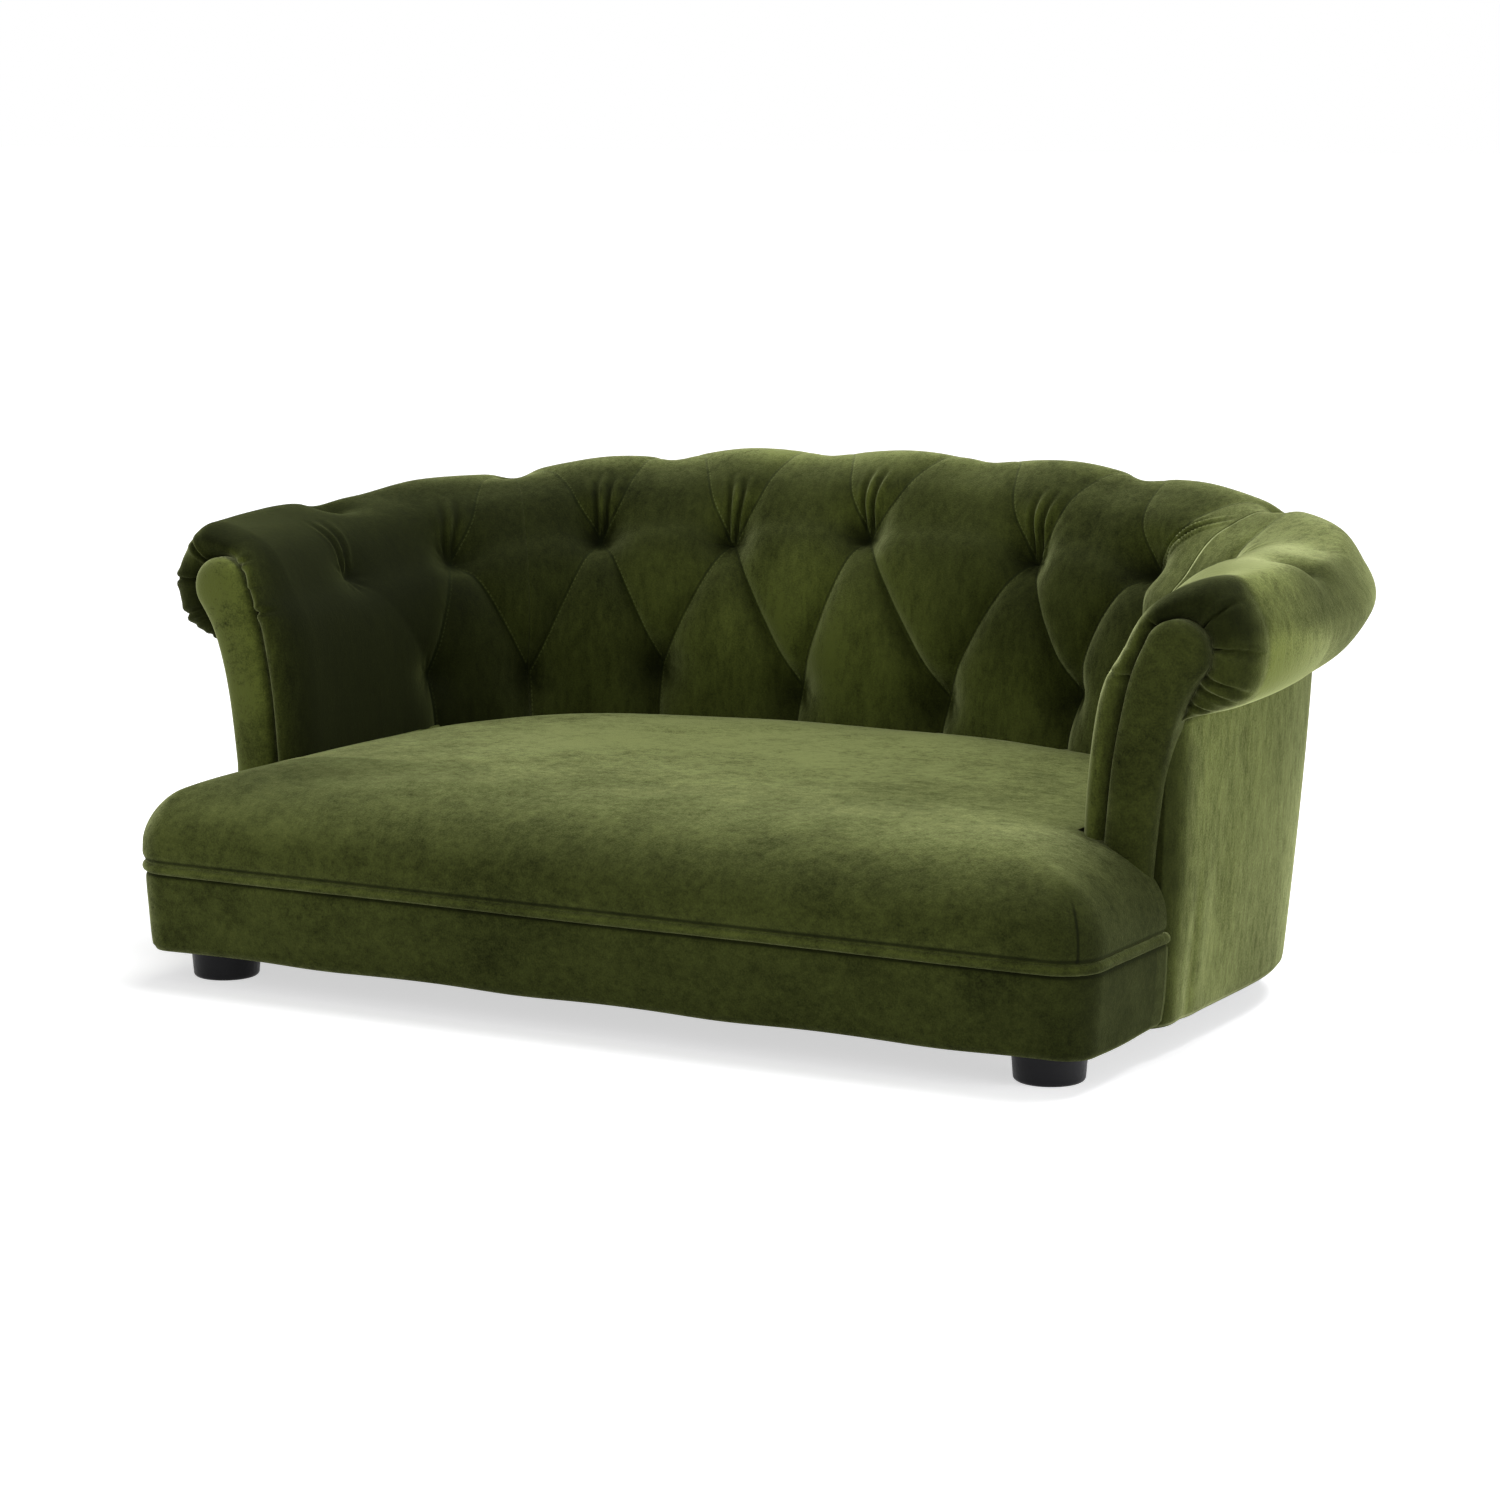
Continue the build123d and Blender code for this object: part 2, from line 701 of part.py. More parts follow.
# Feet, bolts and blocks
front_foot_x = base_half_width - front_foot_side_inset
front_foot_y = base_front_y + front_foot_set_back
rear_foot_place = path_length * rear_foot_place_share
rear_station = Station(rear_foot_place)
rear_spot = rear_station.at(rear_station.base - rear_foot_inset, 0)
feet = {
    "front_left": (-front_foot_x, front_foot_y),
    "front_right": (front_foot_x, front_foot_y),
    "rear_left": (-rear_spot.X, rear_spot.Y),
    "rear_right": (rear_spot.X, rear_spot.Y),
}
hole = bolt_diameter + bolt_hole_clearance
blocks = []
bolts = []
nuts = []
for name, (x, y) in feet.items():
    foot = Solid.make_cone(foot_bottom_diameter / 2, foot_top_diameter / 2, foot_height)
    foot = fillet(foot.edges().group_by(Axis.Z)[0], foot_edge_round)
    bore = Pos(0, 0, foot_height - bolt_in_foot / 2) * Cylinder(hole / 2, bolt_in_foot)
    parts[name + "_foot"] = Pos(x, y, 0) * (foot - bore)
    side = 1 if x > 0 else -1
    if "front" in name:
        near = rail_x - rail_thickness
        far = abs(x) - block_width / 2
        body = block(side * near, side * far, front_inner, y + block_length / 2, bottom_z, rail_top - rail_thickness)
    else:
        places = spread(rear_foot_place - block_length / 2, rear_foot_place + block_length / 2, 8)
        body = carried([Station(p, side) for p in places], foot_block_outline)
    pilot = Pos(x, y, (bottom_z + rail_top) / 2) * Cylinder(hole / 2, rail_height * 2)
    blocks.append(body - pilot)
    bolt_low = foot_height - bolt_in_foot + pad_gap
    bolt_high = rail_top - rail_thickness + tee_nut_flange
    bolts.append(Pos(x, y, (bolt_low + bolt_high) / 2) * Cylinder(bolt_diameter / 2, bolt_high - bolt_low))
    nut = Cylinder(tee_nut_diameter / 2, tee_nut_flange) - Cylinder(hole / 2, tee_nut_flange * 2)
    nuts.append(Pos(x, y, rail_top - rail_thickness + tee_nut_flange / 2) * nut)
parts["corner_blocks"] = Compound(blocks)
parts["foot_bolts"] = Compound(bolts)
parts["tee_nuts"] = Compound(nuts)

# Dust cover under the base
cover_edges = []
rim = []
for place in spread(-1, 1, 40):
    station = mirrored(place * turn_place)
    rim.append(station.at(station.base - band_thickness - pad_gap, foot_height))
for a, b in zip(rim, rim[1:]):
    cover_edges.append(Edge.make_line(a, b))
front_edges = rounded_front(
    rim[-1].X, base_front_y + band_thickness + pad_gap, rim[-1].Y, base_corner_radius - band_thickness, foot_height
)
dust_cover = Solid.extrude(Face(Wire(cover_edges + front_edges)), Vector(0, 0, dust_cover_thickness))
for x, y in feet.values():
    dust_cover = dust_cover - Pos(x, y, foot_height) * Cylinder(hole / 2, dust_cover_thickness * 4)
parts["dust_cover"] = dust_cover

# Webbing over the base: long straps on the side rails, cross straps on top of them
def base_edge(distance, half_width, depth):
    """Other coordinate of the base plan at a distance from its centre line, inside the panel."""
    share = min(1, abs(distance) / depth)
    return half_width * (1 - share**base_plan_power) ** (1 / base_plan_power)


inside = band_thickness + rail_thickness - web_landing
span = rear_inner - front_inner
long_straps = []
for share in long_web_place_shares:
    y = front_inner + span * share
    outer_y = max(0, y + web_width / 2 - arm_turn_y)
    half = base_edge(outer_y, base_half_width, base_depth) - inside
    long_straps.append(
        block(-half, half, y - web_width / 2, y + web_width / 2, rail_top, rail_top + web_thickness)
    )
parts["long_webbing"] = Compound(long_straps)
cross_straps = []
for i in range(cross_web_count):
    x = (i - (cross_web_count - 1) / 2) * (web_width + web_gap)
    back = arm_turn_y + base_edge(abs(x) + web_width / 2, base_depth, base_half_width) - inside
    front = front_inner - web_landing
    low = rail_top + web_thickness
    cross_straps.append(block(x - web_width / 2, x + web_width / 2, front, back, low, low + web_thickness))
parts["cross_webbing"] = Compound(cross_straps)

# Seat, welt and band
parts["seat_cover"] = seat_form(0) - seat_form(seat_cover_thickness)
parts["seat_foam"] = seat_form(seat_cover_thickness + pad_gap)
parts["seat_welt"] = welt()
parts["base_band"] = base_band()

for name, shape in parts.items():
    export_step(shape, f"parts/{name}.step")
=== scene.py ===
import json
import math

import bmesh
import bpy
import numpy as np
from mathutils import Matrix, Vector


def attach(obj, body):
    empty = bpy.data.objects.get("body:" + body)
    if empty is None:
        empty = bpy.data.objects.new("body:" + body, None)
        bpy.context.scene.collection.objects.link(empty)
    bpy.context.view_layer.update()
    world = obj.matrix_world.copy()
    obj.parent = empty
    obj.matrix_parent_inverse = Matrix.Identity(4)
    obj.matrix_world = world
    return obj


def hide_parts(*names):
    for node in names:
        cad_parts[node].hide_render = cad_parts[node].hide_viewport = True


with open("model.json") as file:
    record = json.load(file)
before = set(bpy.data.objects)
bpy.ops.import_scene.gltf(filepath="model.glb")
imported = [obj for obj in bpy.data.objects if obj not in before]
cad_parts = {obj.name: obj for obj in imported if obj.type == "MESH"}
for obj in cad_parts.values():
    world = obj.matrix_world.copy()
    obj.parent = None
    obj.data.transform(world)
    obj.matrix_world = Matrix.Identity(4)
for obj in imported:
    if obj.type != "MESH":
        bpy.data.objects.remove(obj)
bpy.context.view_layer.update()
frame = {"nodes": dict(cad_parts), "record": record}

# Everything is in metres. +X runs along the sofa, +Y points to its back, +Z up.

# Plans of the arms and back: half width, depth behind the turn line, and power of each superellipse
TURN_Y = -0.0255
FRONT_Y = -0.1318
INNER_PLAN = (0.308, 0.188, 2.6)
ROLL_PLAN = (0.437, 0.285, 2.7)
BASE_PLAN = (0.366, 0.235, 3.65)

# Section sizes: each at mid-back, then what it gains or loses by the arm's front
PANEL_LEAN, PANEL_LEAN_LOSS = 0.020, 0.014
ROLL_DROP, ROLL_DROP_GAIN = 0.076, 0.016
# Crest height on the arms, its rise at mid-back and the run over which the rise dies out
ARM_CREST, BACK_RISE, RISE_REACH = 0.3125, 0.0395, 0.430
CREST_INSET = 0.028
ROLL_DRAW = 0.024
PAD_FOOT = 0.096
FACE_LENGTH = 0.384


def inner_plan():
    """Inner plan line: a quarter superellipse from mid-back to the arm, then straight to the arm's front."""
    half, depth, power = INNER_PLAN
    turn = np.linspace(0, np.pi / 2, 1441)
    x = np.append(half * np.sin(turn) ** (2 / power), half)
    y = np.append(TURN_Y + depth * np.abs(np.cos(turn)) ** (2 / power), FRONT_Y)
    place = np.append(0, np.cumsum(np.hypot(np.diff(x), np.diff(y))))
    return x, y, place


PLAN_X, PLAN_Y, PLAN_PLACE = inner_plan()
LENGTH = PLAN_PLACE[-1]


def reach(x, y, ox, oy, half, depth, power):
    """Distance from plan points along directions to a larger superellipse, by halving the interval."""
    low = np.zeros_like(x)
    high = np.full_like(x, half)
    for _ in range(40):
        middle = (low + high) / 2
        across = np.abs(x + ox * middle) / half
        along = np.maximum(0, y + oy * middle - TURN_Y) / depth
        inside = across**power + along**power < 1
        low = np.where(inside, middle, low)
        high = np.where(inside, high, middle)
    return low


class Stations:
    """Upright section planes at signed distances from mid-back along the inner plan line."""

    def __init__(self, place):
        self.place = np.asarray(place, float)
        side = np.where(self.place < 0, -1.0, 1.0)
        far = np.abs(self.place)
        x = np.interp(far, PLAN_PLACE, PLAN_X)
        y = np.interp(far, PLAN_PLACE, PLAN_Y)
        half, depth, _ = INNER_PLAN
        along = (x / half) ** 1.2 / half
        deep = (np.maximum(0, y - TURN_Y) / depth) ** 1.2 / depth
        size = np.hypot(along, deep)
        ox, oy = along / size, deep / size
        forward = np.clip((TURN_Y - y) / (TURN_Y - FRONT_Y), 0, None)
        self.roll = reach(x, y, ox, oy, *ROLL_PLAN) - ROLL_DRAW * forward**2
        self.base = reach(x, y, ox, oy, *BASE_PLAN)
        late = np.clip(far / LENGTH, 0, 1) ** 4
        self.lean = PANEL_LEAN - PANEL_LEAN_LOSS * late
        self.height = ROLL_DROP + ROLL_DROP_GAIN * late
        fall = np.clip(far / RISE_REACH, 0, 1) ** 1.5
        self.crest = ARM_CREST + BACK_RISE * np.cos(np.pi / 2 * fall) ** 2
        self.x, self.y = side * x, y
        self.ox, self.oy = side * ox, oy

    def at(self, line):
        """Space points of section lines given as distance outward and height."""
        r, z = line[..., 0], line[..., 1]
        wide = (slice(None),) + (None,) * (r.ndim - 1)
        return np.stack([self.x[wide] + self.ox[wide] * r, self.y[wide] + self.oy[wide] * r, z], -1)


def catmull(knots, steps):
    """Smooth line through knots (first axis): on each span a cubic that heeds both neighbours."""
    ends = np.concatenate([knots[:1], knots, knots[-1:]])
    t = (np.arange(steps) / steps).reshape((1, steps) + (1,) * (knots.ndim - 1))
    p, q, s, w = (ends[i : len(ends) - 3 + i, None] for i in range(4))
    curve = 0.5 * (2 * q + (s - p) * t + (2 * p - 5 * q + 4 * s - w) * t**2 + (3 * q - p - 3 * s + w) * t**3)
    return np.concatenate([curve.reshape((-1,) + knots.shape[1:]), knots[-1:]])


def face_lines(stations, shares):
    """Pad face in section, at shares of its length: up the inside, over the crest, round under the roll."""
    top, roll = stations.crest, stations.roll
    crest = roll - CREST_INSET
    none = np.zeros_like(top)
    tuck = 0.0098 + 0.0110 * (ROLL_DROP + ROLL_DROP_GAIN - stations.height) / ROLL_DROP_GAIN
    r = [none, none, crest * 0.09, crest * 0.26, crest * 0.5, crest]
    r += [roll - 0.0056, roll, roll - tuck, stations.base + stations.lean]
    z = [none + PAD_FOOT, PAD_FOOT + (top - 0.188) * 0.55, top - 0.08, top - 0.0506, top - 0.0184, top]
    z += [top - 0.021, top - 0.54 * stations.height, top - 0.86 * stations.height, top - stations.height]
    dense = catmull(np.stack([np.stack(r), np.stack(z)], -1), 30).transpose(1, 0, 2)
    step = np.hypot(*np.moveaxis(np.diff(dense, axis=1), -1, 0))
    run = np.concatenate([np.zeros((len(dense), 1)), np.cumsum(step, axis=1)], axis=1)
    shares = np.broadcast_to(shares, (len(dense), np.shape(shares)[-1]))
    line, near, far = (
        np.stack([resampled(p, d, np.clip(s + step, 0, 1)) for p, d, s in zip(dense, run, shares)])
        for step in (0, 0.004, -0.004)
    )
    tangent = near - far
    tangent /= np.linalg.norm(tangent, axis=-1, keepdims=True)
    return line, np.stack([-tangent[..., 1], tangent[..., 0]], -1)


def resampled(points, run, shares):
    """Points at shares of a polyline's length, by straight interpolation along its running length."""
    target = shares * run[-1]
    return np.stack([np.interp(target, run, points[:, 0]), np.interp(target, run, points[:, 1])], -1)


def smooth(low, high, value):
    """Smoothstep: 0 below low, 1 above high, easing in and out between."""
    t = np.clip((value - low) / (high - low), 0, 1)
    return t * t * (3 - 2 * t)


def hump(value, centre, width, power=2):
    """Hump of height 1 at its centre: exp(-(distance / width) ** power)."""
    return np.exp(-((np.abs(value - centre) / width) ** power))


# Tufts and sewn seams: a place along the path and a share up the pad's face
UPPER_PLACES = np.array([0, 0.2354, 0.4246, 0.6190, 0.7960]) * LENGTH
LOWER_PLACES = np.array([0.1176, 0.3332, 0.525, 0.682]) * LENGTH
UPPER_SHARE = np.array([0.530, 0.503, 0.517, 0.473, 0.443])
LOWER_SHARE = np.array([0.213, 0.249, 0.2305, 0.2304])
REAR_SHARE = np.array([0.775, 0.77, 0.745, 0.668])
UPPER_DEEP = np.array([1, 1, 1, 0.8, 0.65])
LOWER_DEEP = np.array([0.65, 0.8, 0.65, 0.4])
REAR_SHIFTS = (0, 0, 0, 0.046)
MID_SHIFT = -0.0159
PAD_SPLIT = LOWER_PLACES[2]
SEAM_REACH = 0.085
UNSEWN = 0.05

# Waypoints of a wedge seam from its upper pit to the rear one, and how hard the seams pull along them
WEDGE = [(0, 0), (0.30, 0.28), (0.50, 0.62), (0.66, 0.86), (1, 1)]
WEDGE_PULL = np.array((1, 0.6, 0.36, 0.2, 0.2, 0.45))
DIAMOND_PULL = np.array((1, 0.74, 0.66, 0.74, 1))
PLEAT_PULL = (1, 0.75, 0.65)


def on_face(place, share):
    """Space points of the untufted face at pairs of place and share."""
    stations = Stations(place)
    line, _ = face_lines(stations, np.asarray(share)[:, None])
    return stations.at(line)[:, 0]


class Seam:
    """Sewn seam through waypoints of place and share, with how hard it pulls at each end."""

    def __init__(self, waypoints, pull, reach_width):
        way = catmull(np.array(waypoints, float), 12)
        self.place = way[:, 0]
        self.points = on_face(way[:, 0], way[:, 1])
        self.pull = np.interp(np.linspace(0, 1, len(way)), np.linspace(0, 1, len(pull)), pull)
        self.width = reach_width
        self.run = np.append(0, np.cumsum(np.linalg.norm(np.diff(self.points, axis=0), axis=1)))

    def near(self, points):
        """Distance of space points to the seam, and the pull, run and point number where each is nearest."""
        start, end = self.points[:-1], self.points[1:]
        along = end - start
        size = np.sum(along**2, axis=1)
        best = np.full(len(points), 9.0)
        where = np.zeros(len(points))
        for i in range(len(start)):
            gap = points - start[i]
            t = np.clip(gap @ along[i] / size[i], 0, 1)
            distance = np.linalg.norm(gap - t[:, None] * along[i], axis=1)
            closer = distance < best
            best = np.where(closer, distance, best)
            where = np.where(closer, i + t, where)
        index = np.arange(len(self.points))
        return best, np.interp(where, index, self.pull), np.interp(where, index, self.run), where


def sewn_seams():
    """All seams: the diamonds' sides, the wedges over the crest, and the pleats down to the seat.

    Those that meet at the foremost tuft of an arm barely pull, so that the roll's top stays whole.
    """
    seams = []
    for side in (1, -1):
        for i, (low, share, rear) in enumerate(zip(LOWER_PLACES, LOWER_SHARE, REAR_SHARE)):
            for j in (i, i + 1):
                up = UPPER_PLACES[j] if j else side * MID_SHIFT
                high = UPPER_SHARE[j]
                span, rise = low - up, rear - high
                bend = (side * (up + span * 0.47), high + (share - high) * 0.46)
                ways = [(side * up, high), bend, (side * low, share)]
                seams.append(Seam(ways, DIAMOND_PULL * (0.2 if j == 4 else 1), 0.012))
                ways = [(side * (up + span * a), high + rise * b) for a, b in WEDGE]
                seams.append(Seam(ways, WEDGE_PULL * (1 if i < 3 else 0.55 - 0.1 * j), 0.010))
            ways = [(side * low, share), (side * low, share * 0.5), (side * low, 0.02)]
            seams.append(Seam(ways, PLEAT_PULL, 0.012))
    return seams


SEAMS = sewn_seams()
PITS = [(MID_SHIFT, UPPER_SHARE[0], UPPER_DEEP[0])]
REAR = []
for side in (1, -1):
    PITS += [(side * p, s, d) for p, s, d in zip(UPPER_PLACES[1:], UPPER_SHARE[1:], UPPER_DEEP[1:])]
    PITS += [(side * p, s, d) for p, s, d in zip(LOWER_PLACES, LOWER_SHARE, LOWER_DEEP)]
    REAR += [(side * (p + shift), s) for p, s, shift in zip(LOWER_PLACES, REAR_SHARE, REAR_SHIFTS)]
REAR[-1] = (-0.7205 * LENGTH, 0.650)
PIT_POINTS = on_face(*np.array(PITS).T[:2])
REAR_POINTS = on_face(*np.array(REAR).T)


def seam_marks(places, points):
    """Fullness of the pad between its seams, and the run along the nearest seam and the distance to it.

    The fullness is the product over seams of (1 - pull * exp(-distance / width)): 0 in a seam and
    swelling between them. The distance is negative on the seam's left.
    """
    swell = np.ones(len(points))
    run = np.zeros(len(points))
    across = np.full(len(points), UNSEWN)
    for seam in SEAMS:
        low, high = seam.place.min() - SEAM_REACH, seam.place.max() + SEAM_REACH
        chosen = np.flatnonzero((places > low) & (places < high))
        if not len(chosen):
            continue
        distance, pull, along, where = seam.near(points[chosen])
        swell[chosen] *= 1 - pull * np.exp(-distance / seam.width)
        left = places[chosen] < np.interp(where, np.arange(len(seam.place)), seam.place)
        closer = (distance < np.abs(across[chosen])) & (seam.pull.max() > 0.5)
        across[chosen] = np.where(closer, np.where(left, -distance, distance), across[chosen])
        run[chosen] = np.where(closer, along, run[chosen])
    return swell, run, across


def pad_swell(places, shares, swell):
    """Height of the swells: full in the diamonds, lower over arms and crest, none under the roll.

    The whole face is sunk a little, so that the swells straddle the plain face, and a wave along the
    crest makes its scalloped outline.
    """
    full = 1 - (1 - np.clip(swell, 0, 1)) ** 1.3
    ahead = smooth(UPPER_PLACES[-1] - 0.050, LENGTH - 0.026, np.abs(places))
    arm = smooth(0.24, 0.40, np.abs(places))
    rise = smooth(0.26, 0.72, shares)
    fullness = (0.020 - 0.009 * arm) * (1 - rise) + 0.009 * rise
    fullness = fullness * (1 - smooth(0.8, 0.97, shares)) * (1 - 0.8 * ahead)
    sink = (0.0035 + 0.005 * rise) * (1 - smooth(0.84, 0.98, shares)) * (1 - ahead)
    knots = np.sort(np.concatenate([UPPER_PLACES, LOWER_PLACES]))
    phase = np.interp(np.abs(places), knots, np.arange(len(knots)) % 2)
    wave = 0.0015 - 0.0045 * smooth(0, 1, phase)
    return full * fullness - sink + wave * hump(shares, 0.70, 0.085) * (1 - ahead)


def hand_steps(way, shares):
    """Small steps in height that make the two arms' pads differ; way is the place from -1 to 1."""
    step = -0.0014 * smooth(0.0, -0.3, way) - 0.0022 * smooth(-0.76, -0.93, way)
    step = step * hump(shares, 0.69, 0.10, 4)
    step += 0.0035 * hump(way, 0.545, 0.055) * hump(shares, 0.70, 0.06)
    step += 0.014 * hump(way, 0.78, 0.14, 4) * hump(shares, 0.555, 0.085)
    step -= 0.0035 * hump(way, 0.78, 0.11) * hump(shares, 0.80, 0.09)
    return step - 0.004 * hump(way, 0.71, 0.05) * hump(shares, 0.69, 0.07)


def pit_marks(places, shares, points, pit, centre):
    """Height, painted fold light and painted shade of one pit: a bowl with a tight well, puckers round it and
    a fan of folds above.

    The fan is a cosine across lines that spread upwards from an upper pit and lean to one side.
    """
    pit_place, pit_share, deep = pit
    gap = np.linalg.norm(points - centre, axis=1)
    side_step = places - pit_place
    rise_step = (shares - pit_share) * FACE_LENGTH
    height = 0.0005 * hump(gap, 0.009, 0.006) * np.cos(9 * np.arctan2(side_step, rise_step))
    height -= deep * (0.0078 * hump(gap, 0, 0.020) + 0.0045 * hump(gap, 0, 0.006, 1.5))
    fan = np.zeros(len(points))
    if pit_share > 0.4:
        tilt = 0.10 + 0.75 * (pit_place > 0.2) * (pit_place < 0.24)
        bent = side_step - tilt * np.maximum(rise_step, 0)
        bent = bent / (0.65 + 16 * np.clip(rise_step, 0, 0.045))
        bent = bent + 0.0007 * np.sin(rise_step * 110 + pit_place * 40)
        window = smooth(0.001, 0.009, rise_step) * (1 - smooth(0.026, 0.058, rise_step))
        fan = hump(bent, 0, 0.0085, 4) * window * np.cos(bent * 2 * np.pi / 0.0080 + 1.1)
    # The fan's folds go into the height, and again as painted light, lighter on ridges and darker in grooves;
    # the last value is painted shade round the pit.
    return height + 0.0026 * deep * fan, fan * deep, deep * hump(gap, 0, 0.013)


def tufting(place, share, points):
    """Height of the tufted face over the plain one, the nearest seam's run and distance, and the painted light
    of the folds and painted shade of the pits.
    """
    shape = points.shape[:2]
    points = points.reshape(-1, 3)
    places = np.repeat(place, shape[1])
    shares = np.tile(share, shape[0])
    swell, run, across = seam_marks(places, points)
    height = pad_swell(places, shares, swell) + hand_steps(places / LENGTH, shares)
    fold_light = np.zeros(len(points))
    pit_shade = np.zeros(len(points))
    for pit, centre in zip(PITS, PIT_POINTS):
        near = np.flatnonzero(np.abs(places - pit[0]) < 0.12)
        marks = pit_marks(places[near], shares[near], points[near], pit, centre)
        for values, mark in zip((height, fold_light, pit_shade), marks):
            values[near] += mark
    for centre in REAR_POINTS:
        gap = np.linalg.norm(points - centre, axis=1)
        outer = float(centre[0] > 0.36)
        wide = 0.011 + 0.007 * (abs(centre[1]) < 0.09) + 0.002 * outer
        height -= wide * 0.6 * hump(gap, 0, wide) + 0.002 * hump(gap, 0, 0.004, 1)
        # Painted shade round the rear pits of the right arm's roll.
        pit_shade += 0.9 * outer * hump(gap, 0, 0.019)
    return [values.reshape(shape) for values in (height, run, across, fold_light, pit_shade)]


def pad_thickness(shares):
    """Pad thickness along its face: full inside, thinner under the roll."""
    return np.interp(shares, [0, 0.6, 0.8, 0.92, 1], [0.0235, 0.024, 0.0175, 0.011, 0.004])


# Scroll facing: middle line's x and z and half width, up the arm's front to the middle of its round head
FACING_SPINE = [
    (0.3390, 0.088, 0.0152), (0.3409, 0.120, 0.0152), (0.3432, 0.150, 0.0155), (0.3476, 0.190, 0.0162),
    (0.3535, 0.220, 0.0168), (0.3612, 0.246, 0.0182), (0.3722, 0.2668, 0.0198),
]
LIP_FOOT_Z = 0.2210


def facing_sides():
    """Dense middle line of the facing, its half widths and the directions along and across it."""
    spine = catmull(np.array(FACING_SPINE), 10)
    tangent = np.gradient(spine[:, :2], axis=0)
    tangent /= np.linalg.norm(tangent, axis=1, keepdims=True)
    return spine[:, :2], spine[:, 2], tangent, np.stack([tangent[:, 1], -tangent[:, 0]], -1)


def lip_target(line):
    """Where each point of the arm's front section ends as the lip turns in: on the facing's outline.

    Inside the arm a point goes level to the outline, over the head it goes straight towards the
    head's middle, and outside it is shared out along the outline down to the roll's underside.
    """
    centre, half, _, across = facing_sides()
    inner, outer = centre - across * half[:, None], centre + across * half[:, None]
    x = line[:, 0] + INNER_PLAN[0]
    z = line[:, 1]
    head, radius = centre[-1], half[-1]
    angle = np.arctan2(z - head[1], x - head[0])
    over = head + radius * np.stack([np.cos(angle), np.sin(angle)], -1)
    level = np.stack([np.interp(z, inner[:, 1], inner[:, 0]), z], -1)
    last = np.flatnonzero((x > head[0]) & (z < head[1]))
    goal = np.where(((x < head[0]) & (z < head[1]))[:, None], level, over)
    down = head[1] - (head[1] - LIP_FOOT_Z) * np.linspace(0, 1, len(last))
    goal[last] = np.stack([np.interp(down, outer[:, 1], outer[:, 0]), down], -1)
    goal[:, 0] -= INNER_PLAN[0]
    return goal


def store_uv(mesh, title, corner_uv):
    """Keep a pair of numbers at every face corner as a UV map."""
    mesh.uv_layers.new(name=title).data.foreach_set("uv", corner_uv.ravel())


def mesh_piece(name, points, quads, rings=(), layers=None):
    """Mesh object from points, a table of four-cornered faces and a few many-cornered end faces.

    The faces are turned outwards and points that meet are welded. Layers are UV maps given point by
    point; the "lean" map, the normal's X and Z, is added to them.
    """
    points = np.asarray(points, float).reshape(-1, 3)
    quads = np.asarray(quads).reshape(-1, 4)
    a, b, c, d = (points[quads[:, i]] for i in range(4))
    volume = np.sum(np.cross(a, b) * c + np.cross(a, c) * d)
    if volume < 0:
        quads = quads[:, ::-1]
        rings = [list(r)[::-1] for r in rings]
    corners = np.concatenate([quads.ravel()] + [np.asarray(r) for r in rings]).astype(np.int32)
    counts = np.array([4] * len(quads) + [len(r) for r in rings])
    mesh = bpy.data.meshes.new(name)
    mesh.vertices.add(len(points))
    mesh.vertices.foreach_set("co", points.ravel())
    mesh.loops.add(len(corners))
    mesh.loops.foreach_set("vertex_index", corners)
    mesh.polygons.add(len(counts))
    mesh.polygons.foreach_set("loop_start", np.concatenate([[0], np.cumsum(counts)[:-1]]).astype(np.int32))
    mesh.polygons.foreach_set("use_smooth", np.array([True] * len(quads) + [False] * len(rings)))
    mesh.update(calc_edges=True)
    for title, uv in (layers or {}).items():
        store_uv(mesh, title, np.asarray(uv, float).reshape(-1, 2)[corners])
    weld = bmesh.new()
    weld.from_mesh(mesh)
    bmesh.ops.remove_doubles(weld, verts=weld.verts, dist=1e-6)
    weld.to_mesh(mesh)
    weld.free()
    lean = np.zeros(len(mesh.vertices) * 3)
    mesh.vertices.foreach_get("normal", lean)
    corners = np.zeros(len(mesh.loops), np.int32)
    mesh.loops.foreach_get("vertex_index", corners)
    store_uv(mesh, "lean", lean.reshape(-1, 3)[:, ::2][corners])
    mesh.validate()
    piece = bpy.data.objects.new(name, mesh)
    bpy.context.scene.collection.objects.link(piece)
    return piece


def grid_quads(rows, columns, closed=False):
    """Table of the four corners of each cell of a grid, whose columns may close on themselves."""
    i, j = np.meshgrid(np.arange(rows - 1), np.arange(columns if closed else columns - 1), indexing="ij")
    down, right = i + 1, (j + 1) % columns
    corners = [i * columns + j, i * columns + right, down * columns + right, down * columns + j]
    return np.stack(corners, -1).reshape(-1, 4)


def tube(name, sections, layers=None):
    """Closed skin of a section carried along rows, with a flat face at each end."""
    rows, columns = sections.shape[:2]
    rings = [list(range(columns))[::-1], list(range((rows - 1) * columns, rows * columns))]
    return mesh_piece(name, sections, grid_quads(rows, columns, closed=True), rings, layers)


def finish_piece(piece, slot_name, material, *nodes, fill=None):
    """Dress a piece: material, body, and the solids that it stands for; the slot name is not used."""
    piece.data.materials.append(material)
    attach(piece, "root")
    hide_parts(*nodes)


